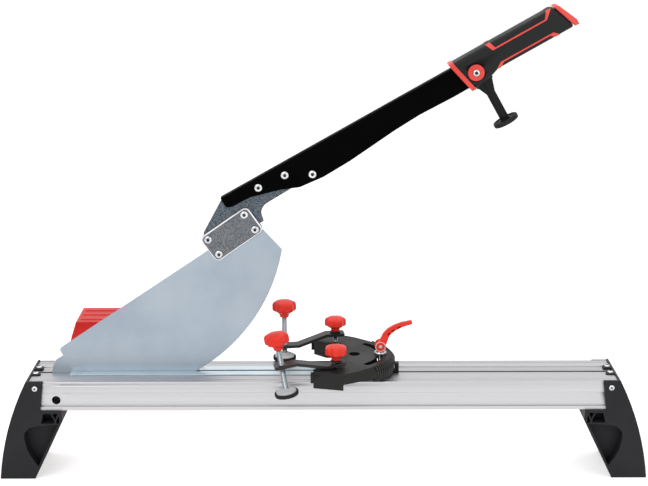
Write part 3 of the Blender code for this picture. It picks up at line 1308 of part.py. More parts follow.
def bar_profile(flip):
    """Side view of the bent arm; its stud is at 0 and its nose lies towards -X."""
    start, end = -ARM_LENGTH * ARM_BEND_START_SHARE, -ARM_LENGTH * ARM_BEND_END_SHARE
    drop = -ARM_DROP * flip
    middle = [(ARM_TAIL, 0), (start, 0), (end, drop), (-ARM_LENGTH - ARM_NOSE, drop)]
    half = ARM_THICKNESS / 2
    return [*offset_path(middle, half), *reversed(offset_path(middle, -half))], drop


def clamp_arm(name, flip, swing, slack):
    """The flat bent bar with a hole for its stud and one for its spindle."""
    outline, drop = bar_profile(flip)
    half = ARM_WIDTH / 2
    solid = prism(outline, -half, half)

    def at_corner(edge):
        across = all(abs(abs(vert.co.y) - half) < WELD for vert in edge.verts)
        ends = (ARM_TAIL, -ARM_LENGTH - ARM_NOSE)
        at_end = all(min(abs(vert.co.x - end) for end in ends) < WELD for vert in edge.verts)
        return across and at_end and abs(edge.verts[0].co.y - edge.verts[1].co.y) < WELD
    solid = bevelled(solid, at_corner, ARM_CORNER, 2)
    reach = ARM_THICKNESS * 2
    stud = circle((0, 0), STUD_DIAMETER / 2 + slack)
    spindle = circle((-ARM_LENGTH, 0), SPINDLE_DIAMETER / 2 + GAP)
    solid = carved(solid, prism(stud, -reach, reach, "xy"), prism(spindle, drop - reach, drop + reach, "xy"))
    node(f"{name}_arm", solid, "black_paint", swing)
    return drop


def plank_clamp(name, side, gauge):
    """One clamp: washer, arm, arm knob with its stud, spindle with its knob, and the pad."""
    front = side < 0
    lift = FRONT_ARM_LIFT if front else REAR_ARM_LIFT
    yaw = FRONT_ARM_YAW if front else REAR_ARM_YAW
    tilt = FRONT_ARM_TILT if front else 0
    length = FRONT_SPINDLE_LENGTH if front else REAR_SPINDLE_LENGTH
    half = ARM_THICKNESS / 2
    rise = half / cos(radians(tilt)) + ARM_WASHER_DIAMETER / 2 * tan(radians(tilt)) + GAP
    place = (-ARM_STUD_X, side * ARM_STUD_Y, GAUGE_TOP + lift + half)
    lifted = joint_empty(f"{name}_lift_axis", gauge, place)
    outer, bore = ARM_WASHER_DIAMETER / 2, STUD_DIAMETER / 2 + GAP
    washer_top = rise + ARM_WASHER_THICKNESS
    ring = [(bore, rise), (outer, rise), (outer, washer_top), (bore, washer_top)]
    node(f"{name}_arm_washer", turned(ring, 20, ring=True), "steel", lifted)
    knob_axis = joint_empty(f"{name}_arm_knob_axis", lifted)
    seat = washer_top + GAP
    knob = moved(knob_solid(ARM_KNOB_DIAMETER, ARM_KNOB_HEIGHT), (0, 0, seat))
    radius, stud_low = STUD_DIAMETER / 2, -lift - half - ARM_STUD_REACH
    stud_top = seat + radius
    stud = [(0, stud_low), (radius, stud_low), (radius, stud_top), (0, stud_top)]
    node(f"{name}_arm_knob", fused(knob, turned(stud, HOLE_STEPS)), "red_plastic", knob_axis)
    swing = joint_empty(f"{name}_arm_axis", lifted, rotation=(0, -tilt, yaw))
    drop = clamp_arm(name, -1 if front else 1, swing, ARM_HOLE_SLACK if front else GAP)
    pad_low = pad_height(front, drop, lift + half)
    travel = joint_empty(f"{name}_pad_axis", swing, (-ARM_LENGTH, 0, pad_low))
    clamp_pad(name, travel)
    turn = joint_empty(f"{name}_spindle_axis", travel)
    radius = SPINDLE_DIAMETER / 2
    low = PAD_FLOOR + GAP + PAD_FLOOR / 2 + GAP
    rod = turned([(0, low), (radius, low), (radius, low + length), (0, low + length)], HOLE_STEPS)
    node(f"{name}_spindle", rod, "steel", turn)
    knob = carved(
        knob_solid(SPINDLE_KNOB_DIAMETER, SPINDLE_KNOB_HEIGHT),
        prism(circle((0, 0), radius + GAP), -OVERRUN, SPINDLE_KNOB_HEIGHT / 2, "xy"),
    )
    knob_low = low + length + GAP - SPINDLE_KNOB_HEIGHT / 2
    node(f"{name}_spindle_knob", moved(knob, (0, 0, knob_low)), "red_plastic", turn)


def pad_height(front, drop, rise):
    """Height of the pad's underside along the spindle, from the arm's stud level."""
    if front:
        return drop - FRONT_PAD_DROP
    return TABLE_HEIGHT + REAR_PAD_HEIGHT - GAUGE_TOP - rise


def clamp_pad(name, travel):
    """The grey swivel cap in its black rubber pad; 0 is the rubber's underside."""
    outer = PAD_DIAMETER / 2
    inner = outer - PAD_RUBBER_RIM
    rubber = [
        (0, 0), (outer - PAD_RUBBER_RIM / 2, 0), (outer, PAD_RUBBER_RIM / 2), (outer, PAD_RUBBER_HEIGHT),
        (inner, PAD_RUBBER_HEIGHT), (inner, PAD_FLOOR), (0, PAD_FLOOR),
    ]
    node(f"{name}_pad_rubber", turned(rubber, 24), "rubber", travel)
    disc = inner - GAP
    floor = PAD_FLOOR + GAP
    bore, collar = SPINDLE_DIAMETER / 2 + GAP, PAD_COLLAR_DIAMETER / 2
    shoulder = PAD_RUBBER_HEIGHT + PAD_CAP_DOME
    cap = [
        (0, floor), (disc, floor), (disc, PAD_RUBBER_HEIGHT), (collar, shoulder),
        (collar * PAD_COLLAR_SHARE, shoulder + PAD_COLLAR_HEIGHT), (bore, shoulder + PAD_COLLAR_HEIGHT),
        (bore, floor + PAD_FLOOR / 2), (0, floor + PAD_FLOOR / 2),
    ]
    node(f"{name}_pad_cap", turned(cap, 24), "grey_plastic", travel)


# Plank support

def plank_support(frame):
    """The loose hollow stand for the far end of a plank, level with the table."""
    front = TABLE_EDGE + SUPPORT_GAP
    left = SUPPORT_LEFT_INSET - HALF_TABLE
    right = left + SUPPORT_LENGTH

    def shell(wall, low):
        top = TABLE_HEIGHT - wall
        share = (TABLE_HEIGHT - top) / TABLE_HEIGHT
        high_x, low_x = left + wall - SUPPORT_SPREAD * share, left + wall - SUPPORT_SPREAD
        near = bowed((high_x, top), (low_x, low), -SUPPORT_BULGE, 6)
        return [*near, *[(left + right - x, z) for x, z in reversed(near)]]

    solid = prism(shell(0, 0), front, front + SUPPORT_DEPTH)
    hollow = prism(shell(SUPPORT_WALL, -OVERRUN), front + SUPPORT_WALL, front + SUPPORT_DEPTH - SUPPORT_WALL)
    inset = SUPPORT_RIDGE_WIDTH
    ridges = []
    for share in SUPPORT_RIDGE_SHARES:
        y = front + share * SUPPORT_DEPTH - SUPPORT_RIDGE_WIDTH / 2
        low, high = TABLE_HEIGHT - OVERRUN, TABLE_HEIGHT + SUPPORT_RIDGE_HEIGHT
        ridges.append(block((left + inset, y, low), (right - inset, y + SUPPORT_RIDGE_WIDTH, high)))
    node("plank_support", fused(carved(solid, hollow), *ridges), "red_plastic", frame)


def build():
    """Clear the scene and make every piece."""
    for old in list(bpy.data.objects):
        bpy.data.objects.remove(old, do_unlink=True)
    frame = joint_empty("bench_frame", None, (0, FRAME_Y, 0))
    bench(frame)
    for name, side in (("left_foot", -1), ("right_foot", 1)):
        foot(name, side, frame)
        foot_screws(name, side, frame)
    cutting_pivot(frame)
    arm = joint_empty("cutting_arm_axis", frame, (PIVOT_X, 0, PIVOT_Z), (0, -OPEN_ANGLE, 0))
    blade(arm)
    joint_plates(arm)
    bracket(arm)
    lever(arm)
    grip(arm)
    stop_post(arm)
    gauge_carrier(frame)
    gauge_bolt(frame)
    gauge = joint_empty("gauge_axis", frame, (GAUGE_PIVOT_X, 0, 0))
    gauge_body(gauge)
    cam_clamp(frame, joint_empty("cam_axis", frame, (GAUGE_PIVOT_X + ARC_SLOT_RADIUS, 0, CAM_Z)))
    for name, side in (("front", -1), ("rear", 1)):
        plank_clamp(f"{name}_clamp", side, gauge)
    plank_support(frame)


build()
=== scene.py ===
"""Looks of the laminate flooring guillotine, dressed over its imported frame."""

import json
from math import cos, pi, radians, sin, sqrt

import bmesh
import bpy
from mathutils import Matrix, Vector

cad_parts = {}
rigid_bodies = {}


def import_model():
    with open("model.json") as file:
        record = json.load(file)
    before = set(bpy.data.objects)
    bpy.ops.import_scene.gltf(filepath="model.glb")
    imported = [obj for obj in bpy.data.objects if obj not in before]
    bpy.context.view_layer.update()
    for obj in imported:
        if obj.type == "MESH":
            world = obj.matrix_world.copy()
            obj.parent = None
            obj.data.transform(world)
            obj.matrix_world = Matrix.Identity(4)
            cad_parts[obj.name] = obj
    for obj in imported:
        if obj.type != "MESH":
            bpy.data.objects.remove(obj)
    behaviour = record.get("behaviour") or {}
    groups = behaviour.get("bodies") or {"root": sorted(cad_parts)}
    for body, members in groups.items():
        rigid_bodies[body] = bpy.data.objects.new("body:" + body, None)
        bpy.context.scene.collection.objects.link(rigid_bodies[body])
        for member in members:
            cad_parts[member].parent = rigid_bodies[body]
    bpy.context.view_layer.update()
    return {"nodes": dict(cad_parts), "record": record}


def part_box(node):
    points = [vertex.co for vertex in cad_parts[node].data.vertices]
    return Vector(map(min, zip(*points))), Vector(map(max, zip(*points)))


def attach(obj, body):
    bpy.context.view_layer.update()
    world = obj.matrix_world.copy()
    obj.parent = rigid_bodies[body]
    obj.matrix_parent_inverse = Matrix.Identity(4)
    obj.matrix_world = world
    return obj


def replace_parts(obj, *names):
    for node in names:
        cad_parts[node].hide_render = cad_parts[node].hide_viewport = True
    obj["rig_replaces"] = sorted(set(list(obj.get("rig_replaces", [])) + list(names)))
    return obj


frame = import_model()

MM = 0.001
MERGE = 0.001 * MM
# Degrees between faces past which an edge stays sharp in the shading, or is softened
SMOOTH_ANGLE = 35
EDGE_ANGLE = 32
# Degrees within which faces count as one flat face
FLAT_ANGLE = 0.4
RECORD = frame["record"]
BODY_OF = {n: body for body, nodes in RECORD["behaviour"]["bodies"].items() for n in nodes}
SLOT_OF = {entry["node"]: entry["material_slot"] for entry in RECORD["subparts"]}
JOINTS = {joint["name"]: joint for joint in RECORD["behaviour"]["joints"]}

# Places taken from the joints
PIVOT = Vector(JOINTS["blade_lever"]["pos_m"])
GAUGE_AXIS = Vector(JOINTS["gauge_swivel"]["pos_m"])
CAM_AXIS = Vector(JOINTS["cam_clamp"]["pos_m"])
OPEN_ANGLE = -JOINTS["blade_lever"]["range_deg"][0]
ARM = Matrix.Translation(PIVOT) @ Matrix.Rotation(radians(-OPEN_ANGLE), 4, "Y")

# Camera fitted to the photograph
CAMERA_PLACE = Vector((0.00218, -1.79196, 0.7453))
CAMERA_PITCH = 14.776
CAMERA_YAW = -0.024
CAMERA_ROLL = -0.127
CAMERA_LENS = 77.83
SENSOR_WIDTH = 36


# Node groups

FLOAT, COLOUR, VECTOR = "NodeSocketFloat", "NodeSocketColor", "NodeSocketVector"
GEOMETRY = "NodeSocketGeometry"
NOISE, MATH, RANGE = "ShaderNodeTexNoise", "ShaderNodeMath", "ShaderNodeMapRange"


def new_group(name, kind, inputs, outputs):
    """An empty node group with named sockets, and what its input node gives."""
    group = bpy.data.node_groups.new(name, kind)
    for label, socket_type, value in inputs:
        socket = group.interface.new_socket(label, in_out="INPUT", socket_type=socket_type)
        if value is not None:
            socket.default_value = value
    for label, socket_type in outputs:
        group.interface.new_socket(label, in_out="OUTPUT", socket_type=socket_type)
    return group, group.nodes.new("NodeGroupInput").outputs


def add_node(tree, kind, **settings):
    """A node with its settings; one that starts with in_ fills an input with a value or a link."""
    made = tree.nodes.new(kind)
    for key, value in settings.items():
        label = key.removeprefix("in_").replace("_", " ")
        if not key.startswith("in_"):
            setattr(made, key, value)
            continue
        socket = made.inputs[int(label) if label.isdigit() else label]
        if isinstance(value, bpy.types.NodeSocket):
            tree.links.new(value, socket)
        else:
            socket.default_value = value
    return made


def grain_group():
    """Fine moulded or blasted grain: a height and a soft mask."""
    group, given = new_group(
        "moulded_grain", "ShaderNodeTree",
        [("Vector", VECTOR, None), ("Grain Scale", FLOAT, 900.0), ("Cloud Scale", FLOAT, 14.0)],
        [("Height", FLOAT), ("Cloud", FLOAT)],
    )
    place, grain, clouds = given["Vector"], given["Grain Scale"], given["Cloud Scale"]
    fine = add_node(group, NOISE, in_Vector=place, in_Scale=grain, in_Detail=3.0, in_Roughness=0.6)
    cloud = add_node(group, NOISE, in_Vector=place, in_Scale=clouds, in_Detail=4.0, in_Roughness=0.55)
    add_node(group, "NodeGroupOutput", in_Height=fine.outputs["Fac"], in_Cloud=cloud.outputs["Fac"])
    return group


def drawn_lines_group():
    """Fine lines that run along one way, as rolling, drawing or grinding leaves them."""
    group, given = new_group(
        "drawn_lines", "ShaderNodeTree",
        [("Vector", VECTOR, None), ("Stretch", VECTOR, (3.0, 900.0, 900.0))],
        [("Height", FLOAT), ("Streak", FLOAT)],
    )
    place = add_node(
        group, "ShaderNodeVectorMath", operation="MULTIPLY", in_0=given["Vector"], in_1=given["Stretch"]
    ).outputs[0]
    fine = add_node(group, NOISE, in_Vector=place, in_Scale=1.0, in_Detail=4.0, in_Roughness=0.7)
    broad = add_node(group, NOISE, in_Vector=place, in_Scale=0.12, in_Detail=2.0, in_Roughness=0.5)
    add_node(group, "NodeGroupOutput", in_Height=fine.outputs["Fac"], in_Streak=broad.outputs["Fac"])
    return group


def spangle_group():
    """Zinc crystals: flat patches, each with its own tone, and their borders."""
    group, given = new_group(
        "zinc_spangle", "ShaderNodeTree", [("Vector", VECTOR, None), ("Crystal Scale", FLOAT, 160.0)],
        [("Tone", FLOAT), ("Height", FLOAT)],
    )
    warp = add_node(group, NOISE, in_Vector=given["Vector"], in_Scale=60.0, in_Detail=2.0)
    shift = add_node(
        group, "ShaderNodeVectorMath", operation="MULTIPLY_ADD", in_0=warp.outputs["Color"],
        in_1=(0.012, 0.012, 0.012), in_2=given["Vector"],
    )
    crystals = add_node(
        group, "ShaderNodeTexVoronoi", feature="F1", in_Vector=shift.outputs[0],
        in_Scale=given["Crystal Scale"],
    )
    tone = add_node(group, "ShaderNodeSeparateColor", in_Color=crystals.outputs["Color"])
    add_node(group, "NodeGroupOutput", in_Tone=tone.outputs["Red"], in_Height=crystals.outputs["Distance"])
    return group


def blend_group():
    """Two colours mixed by a mask that is first spread or narrowed."""
    group, given = new_group(
        "toned_colour", "ShaderNodeTree",
        [("Mask", FLOAT, 0.5), ("Low", FLOAT, 0.35), ("High", FLOAT, 0.65), ("Dark", COLOUR, (0, 0, 0, 1)),
         ("Light", COLOUR, (1, 1, 1, 1))],
        [("Color", COLOUR), ("Mask", FLOAT)],
    )
    spread = add_node(
        group, RANGE, interpolation_type="SMOOTHSTEP", in_Value=given["Mask"], in_From_Min=given["Low"],
        in_From_Max=given["High"],
    ).outputs["Result"]
    mix = add_node(
        group, "ShaderNodeMix", data_type="RGBA", in_0=spread, in_6=given["Dark"], in_7=given["Light"]
    )
    add_node(group, "NodeGroupOutput", in_Color=mix.outputs[2], in_Mask=spread)
    return group


GRAIN, LINES, SPANGLE, TONED = grain_group(), drawn_lines_group(), spangle_group(), blend_group()


# Materials

# Where a mask turns from dark to light, how far roughness strays, and how strong and deep the relief is
PLASTIC_TONES, PLASTIC_STRAY, PLASTIC_DEPTH = (0.35, 0.65), (-0.06, 0.08), 0.02 * MM
LINED_TONES, LINED_STRAY, LINED_RELIEF = (0.3, 0.7), (-0.05, 0.06), 0.25
CRYSTAL_TONES, CRYSTAL_STRAY, CRYSTAL_RELIEF = (0.0, 1.0), (-0.08, 0.1), 0.06
ZINC_TONES, ZINC_STRAY, ZINC_RELIEF, ZINC_ROUGHNESS = (0.3, 0.7), (-0.04, 0.06), 0.2, 0.4
METAL_DEPTH = 0.01 * MM


def new_material(name, roughness, metallic):
    """A material with its Principled shader, Object coordinates and a bump, all placed."""
    material = bpy.data.materials.new(name)
    material.use_nodes = True
    tree = material.node_tree
    shader = tree.nodes["Principled BSDF"]
    shader.inputs["Roughness"].default_value = roughness
    shader.inputs["Metallic"].default_value = metallic
    place = tree.nodes.new("ShaderNodeTexCoord").outputs["Object"]
    bump = tree.nodes.new("ShaderNodeBump")
    tree.links.new(bump.outputs["Normal"], shader.inputs["Normal"])
    return material, tree, shader, place, bump


def pattern(tree, group, place, **values):
    """What a group gives at a place."""
    return add_node(tree, "ShaderNodeGroup", node_tree=group, in_Vector=place, **values).outputs


def toned(tree, shader, mask, dark, light, tones, roughness, stray):
    """Colour between two tones and roughness that strays a little both ways, by one mask."""
    tone = add_node(
        tree, "ShaderNodeGroup", node_tree=TONED, in_Mask=mask, in_Low=tones[0], in_High=tones[1],
        in_Dark=(*dark, 1), in_Light=(*light, 1),
    )
    tree.links.new(tone.outputs["Color"], shader.inputs["Base Color"])
    low, high = roughness + stray[0], roughness + stray[1]
    ranged = add_node(tree, RANGE, in_Value=tone.outputs["Mask"], in_To_Min=low, in_To_Max=high)
    tree.links.new(ranged.outputs["Result"], shader.inputs["Roughness"])


def raised(tree, bump, height, relief, depth):
    """Makes a bump follow a height."""
    bump.inputs["Strength"].default_value = relief
    bump.inputs["Distance"].default_value = depth
    tree.links.new(height, bump.inputs["Height"])


def plastic(name, dark, light, roughness, grain=900.0, relief=0.35, specular=0.5):
    """Moulded plastic, rubber or paint with a fine grain and cloudy tone."""
    material, tree, shader, place, bump = new_material(name, roughness, 0.0)
    shader.inputs["Specular IOR Level"].default_value = specular
    made = pattern(tree, GRAIN, place, in_Grain_Scale=grain)
    toned(tree, shader, made["Cloud"], dark, light, PLASTIC_TONES, roughness, PLASTIC_STRAY)
    raised(tree, bump, made["Height"], relief, PLASTIC_DEPTH)
    return material


def lined_metal(name, dark, light, roughness, stretch):
    """Metal with drawn or ground lines."""
    material, tree, shader, place, bump = new_material(name, roughness, 1.0)
    made = pattern(tree, LINES, place, in_Stretch=stretch)
    toned(tree, shader, made["Streak"], dark, light, LINED_TONES, roughness, LINED_STRAY)
    raised(tree, bump, made["Height"], LINED_RELIEF, METAL_DEPTH)
    return material


def spangled_metal(name, dark, light, roughness, crystals):
    """Galvanised steel with its crystals."""
    material, tree, shader, place, bump = new_material(name, roughness, 1.0)
    made = pattern(tree, SPANGLE, place, in_Crystal_Scale=crystals)
    toned(tree, shader, made["Tone"], dark, light, CRYSTAL_TONES, roughness, CRYSTAL_STRAY)
    raised(tree, bump, made["Height"], CRYSTAL_RELIEF, METAL_DEPTH)
    return material


def zinc_plate(name, dark, light):
    """Blue-white zinc plate with soft clouds and rolling lines."""
    material, tree, shader, place, bump = new_material(name, ZINC_ROUGHNESS, 1.0)
    clouds = pattern(tree, GRAIN, place, in_Grain_Scale=500.0, in_Cloud_Scale=9.0)
    lines = pattern(tree, LINES, place, in_Stretch=(300.0, 300.0, 6.0))
    toned(tree, shader, clouds["Cloud"], dark, light, ZINC_TONES, ZINC_ROUGHNESS, ZINC_STRAY)
    raised(tree, bump, lines["Height"], ZINC_RELIEF, METAL_DEPTH)
    return material


FINISHES = {
    "aluminium": lined_metal(
        "extruded_aluminium", (0.475, 0.47, 0.486), (0.56, 0.556, 0.57), 0.45, (2.0, 420.0, 420.0)
    ),
    "zinc_plate": zinc_plate("blade_zinc", (0.285, 0.335, 0.39), (0.37, 0.42, 0.47)),
    "galvanised_steel": spangled_metal(
        "galvanised_steel", (0.040, 0.050, 0.062), (0.145, 0.165, 0.19), 0.4, 900.0
    ),
    "bright_steel": lined_metal(
        "bright_steel", (0.52, 0.53, 0.55), (0.70, 0.71, 0.72), 0.22, (600.0, 600.0, 600.0)
    ),
    "bush_brass": lined_metal(
        "turned_brass", (0.50, 0.33, 0.13), (0.62, 0.43, 0.19), 0.32, (500.0, 40.0, 500.0)
    ),
    "black_gloss_paint": plastic(
        "gloss_black_paint", (0.0006, 0.0006, 0.0007), (0.0012, 0.0012, 0.0013), 0.5,
        grain=260.0, relief=0.12, specular=0.02,
    ),
    "black_paint": plastic(
        "satin_black_paint", (0.012, 0.011, 0.011), (0.024, 0.022, 0.021), 0.34,
        grain=700.0, specular=0.3,
    ),
    "black_plastic": plastic(
        "black_moulding", (0.026, 0.026, 0.028), (0.036, 0.036, 0.039), 0.48, specular=0.35
    ),
    "gauge_plastic": plastic(
        "gauge_moulding", (0.006, 0.006, 0.006), (0.011, 0.011, 0.010), 0.46, specular=0.24
    ),
    "grey_plastic": plastic("grey_moulding", (0.50, 0.50, 0.51), (0.60, 0.60, 0.61), 0.45),
    "red_plastic": plastic(
        "red_moulding", (0.80, 0.034, 0.020), (0.90, 0.05, 0.032), 0.36, relief=0.2, specular=0.2
    ),
    "black_rubber": plastic(
        "black_rubber", (0.008, 0.008, 0.008), (0.016, 0.016, 0.016), 0.72,
        grain=600.0, specular=0.25,
    ),
}
# Bright steel for the joint plates' rims: a painted highlight where the rounded rims catch the light
RIM_PAINTED_HIGHLIGHT = lined_metal("plate_rim_painted_highlight", (0.74, 0.75, 0.77), (0.88, 0.88, 0.9), 0.3, (500.0, 500.0, 500.0))
PLATE_SPANGLE = spangled_metal("plate_spangle", (0.085, 0.09, 0.098), (0.195, 0.205, 0.22), 0.38, 950.0)
GRIP_PLASTIC = plastic("grip_moulding", (0.005, 0.006, 0.006), (0.010, 0.012, 0.011), 0.5, specular=0.22)
STEM_PLASTIC = plastic("stem_moulding", (0.003, 0.003, 0.003), (0.006, 0.006, 0.006), 0.44, specular=0.2)
FOOT_PLASTIC = plastic("foot_moulding", (0.011, 0.011, 0.013), (0.018, 0.018, 0.021), 0.5, specular=0.22)
GRIP_RED = plastic(
    "grip_red_moulding", (0.76, 0.07, 0.06), (0.88, 0.10, 0.085), 0.36, relief=0.2, specular=0.2
)
SUPPORT_RED = plastic("support_moulding", (0.66, 0.018, 0.014), (0.78, 0.03, 0.022), 0.4, specular=0.3)
# Gauge plastic made lighter for the ribs: a painted highlight where the ribs catch the light
RIB_PAINTED_HIGHLIGHT = plastic("rib_painted_highlight", (0.016, 0.015, 0.015), (0.025, 0.024, 0.023), 0.4, specular=0.4)
# Near-black plastic for the sight hole's dish and the cam's slits: painted shade in those hollows
HOLLOW_PAINTED_SHADE = plastic("hollow_painted_shade", (0.002, 0.002, 0.002), (0.004, 0.004, 0.004), 0.6, specular=0.1)
PALE_PLASTIC = plastic("pale_moulding", (0.62, 0.58, 0.55), (0.74, 0.70, 0.66), 0.4)
# Zinc of the wear strips, light and blue: partly their own zinc colour, partly a painted reflection of the
# bright surround
STRIP_ZINC_AND_REFLECTION = zinc_plate("strip_zinc_and_painted_reflection", (0.60, 0.70, 0.76), (0.70, 0.79, 0.84))
ROD_STEEL = lined_metal("rod_steel", (0.27, 0.305, 0.325), (0.42, 0.455, 0.48), 0.26, (500.0, 500.0, 60.0))
# Near-black steel for the discs in the screw recesses: painted shade where the recesses lie in shadow
RECESS_PAINTED_SHADE = lined_metal(
    "recess_painted_shade", (0.02, 0.02, 0.022), (0.05, 0.05, 0.054), 0.5, (500.0, 500.0, 500.0)
)
SKIN_FINISHES = {
    "front_wear_strip": STRIP_ZINC_AND_REFLECTION, "rear_wear_strip": STRIP_ZINC_AND_REFLECTION,
    "front_clamp_arm_washer": FINISHES["black_paint"], "rear_clamp_arm_washer": FINISHES["black_paint"],
    "grip": GRIP_PLASTIC, "stop_stem": STEM_PLASTIC, "plank_support": SUPPORT_RED,
    "grip_collar": GRIP_RED, "grip_end_cap": GRIP_RED,
    "grip_disc_front": GRIP_RED, "grip_disc_rear": GRIP_RED,
    "lever_packing_front": FINISHES["galvanised_steel"], "lever_packing_rear": FINISHES["galvanised_steel"],
}


# Meshes

def new_piece(name, solid, material, angle=SMOOTH_ANGLE):
    """An object for a solid, shaded smooth up to an angle between its faces."""
    mesh = bpy.data.meshes.new(name)
    solid.to_mesh(mesh)
    solid.free()
    mesh.materials.append(material)
    mesh.shade_smooth()
    mesh.set_sharp_from_angle(angle=radians(angle))
    piece = bpy.data.objects.new(name, mesh)
    bpy.context.scene.collection.objects.link(piece)
    return piece


def applied(piece):
    """The piece with its modifiers made part of its mesh."""
    made = bpy.data.meshes.new_from_object(piece.evaluated_get(bpy.context.evaluated_depsgraph_get()))
    piece.modifiers.clear()
    piece.data = made
    return piece


def stands_for(piece, *nodes):
    """The piece rides with its CAD nodes' body and is shown in their place."""
    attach(piece, BODY_OF[nodes[0]])
    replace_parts(piece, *nodes)


def trim(piece, body):
    """A piece that only adds to what the CAD shows."""
    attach(piece, body)


def merged_copy(node, matrix=None):
    """A CAD node's mesh, moved if asked, with its corners joined and its flat faces made whole."""
    solid = bmesh.new()
    solid.from_mesh(frame["nodes"][node].data)
    if matrix is not None:
        bmesh.ops.transform(solid, matrix=matrix, verts=solid.verts[:])
    bmesh.ops.remove_doubles(solid, verts=solid.verts[:], dist=MERGE)
    flat = radians(FLAT_ANGLE)
    bmesh.ops.dissolve_limit(solid, angle_limit=flat, verts=solid.verts[:], edges=solid.edges[:])
    return solid


def soften(piece, width, angle=EDGE_ANGLE):
    """Rounds the piece's edges a little, as moulding or deburring does."""
    step = piece.modifiers.new("edges", "BEVEL")
    step.width, step.segments = width, 2
    step.limit_method, step.angle_limit = "ANGLE", radians(angle)
    step.harden_normals = True
    step.miter_outer = "MITER_ARC"
    return applied(piece)


def skin(node, width, angle):
    """A CAD node shown as a copy with softened edges."""
    material = SKIN_FINISHES.get(node) or FINISHES[SLOT_OF[node]]
    piece = new_piece(f"{node}_skin", merged_copy(node), material, angle)
    if width:
        soften(piece, width, angle)
    stands_for(piece, node)


def turned(profile, steps, matrix=None, dip=None):
    """A profile of (radius, height) points turned about Z; dip pulls each radius in by angle."""
    solid = bmesh.new()
    rings = []
    for index, (radius, height) in enumerate(profile):
        if radius == 0:
            rings.append([solid.verts.new((0, 0, height))])
            continue
        ring = []
        for step in range(steps):
            angle = 2 * pi * step / steps
            share = 1 - (dip(index, angle) if dip else 0)
            ring.append(solid.verts.new((radius * share * cos(angle), radius * share * sin(angle), height)))
        rings.append(ring)
    for lower, upper in zip(rings, rings[1:]):
        for i in range(steps):
            j = (i + 1) % steps
            corners = [
                lower[i % len(lower)], lower[j % len(lower)], upper[j % len(upper)], upper[i % len(upper)],
            ]
            solid.faces.new(list(dict.fromkeys(corners)))
    bmesh.ops.recalc_face_normals(solid, faces=solid.faces[:])
    if matrix is not None:
        bmesh.ops.transform(solid, matrix=matrix, verts=solid.verts[:])
    return solid


def in_metres(points):
    """Points given in millimetres, in metres."""
    return [(across * MM, up * MM) for across, up in points]


def along(axis_place, axis_way, turn=0.0):
    """A matrix that puts Z along a way from a place."""
    way = Vector(axis_way).normalized()
    facing = way.to_track_quat("Z", "Y").to_matrix().to_4x4()
    return Matrix.Translation(axis_place) @ facing @ Matrix.Rotation(turn, 4, "Z")


def arm_box(node):
    """The lowest and highest corners of a node, seen with the cutting arm level."""
    level = ARM.inverted()
    places = [level @ vert.co for vert in frame["nodes"][node].data.vertices]
    return [Vector([pick(place[i] for place in places) for i in range(3)]) for pick in (min, max)]


# Geometry node trees

def copied_on(tree, given, points, template, turn):
    """Sends out a template on each point, turned, as real geometry with its material."""
    copies = add_node(
        tree, "GeometryNodeInstanceOnPoints", in_Points=points, in_Instance=template, in_Rotation=turn
    )
    real = add_node(tree, "GeometryNodeRealizeInstances", in_Geometry=copies.outputs["Instances"])
    finish = add_node(
        tree, "GeometryNodeSetMaterial", in_Geometry=real.outputs["Geometry"], in_Material=given["Material"]
    )
    add_node(tree, "NodeGroupOutput", in_Geometry=finish.outputs["Geometry"])
    return tree


def set_out_tree():
    """Copies one template onto points, each turned as its point says."""
    tree, given = new_group("set_out_on_points", "GeometryNodeTree", [
        ("Geometry", GEOMETRY, None), ("Template", "NodeSocketObject", None),
        ("Material", "NodeSocketMaterial", None),
    ], [("Geometry", GEOMETRY)])
    template = add_node(tree, "GeometryNodeObjectInfo", in_Object=given["Template"])
    turn = add_node(tree, "GeometryNodeInputNamedAttribute", data_type="FLOAT_VECTOR", in_Name="turn")
    return copied_on(
        tree, given, given["Geometry"], template.outputs["Geometry"], turn.outputs["Attribute"]
    )


def rib_tree():
    """Radial ribs on an arc, leaning outwards with a slope."""
    tree, given = new_group("radial_ribs", "GeometryNodeTree", [
        ("Geometry", GEOMETRY, None), ("Count", "NodeSocketInt", None), ("Radius", FLOAT, None),
        ("Height", FLOAT, None), ("First Angle", FLOAT, None), ("Step Angle", FLOAT, None),
        ("Slope", FLOAT, None), ("Rib Size", VECTOR, None), ("Material", "NodeSocketMaterial", None),
    ], [("Geometry", GEOMETRY)])
    line = add_node(tree, "GeometryNodeMeshLine", in_Count=given["Count"])
    index = add_node(tree, "GeometryNodeInputIndex")
    angle = add_node(
        tree, MATH, operation="MULTIPLY_ADD", in_0=index.outputs["Index"], in_1=given["Step Angle"],
        in_2=given["First Angle"],
    ).outputs[0]
    sides = []
    for operation in ("COSINE", "SINE"):
        share = add_node(tree, MATH, operation=operation, in_0=angle).outputs[0]
        sides.append(add_node(tree, MATH, operation="MULTIPLY", in_0=share, in_1=given["Radius"]).outputs[0])
    place = add_node(tree, "ShaderNodeCombineXYZ", in_X=sides[0], in_Y=sides[1], in_Z=given["Height"])
    points = add_node(
        tree, "GeometryNodeSetPosition", in_Geometry=line.outputs["Mesh"], in_Position=place.outputs[0]
    )
    turn = add_node(tree, "ShaderNodeCombineXYZ", in_Y=given["Slope"], in_Z=angle)
    rib = add_node(tree, "GeometryNodeMeshCube", in_Size=given["Rib Size"])
    return copied_on(tree, given, points.outputs["Geometry"], rib.outputs["Mesh"], turn.outputs[0])


SET_OUT, RIBS = set_out_tree(), rib_tree()


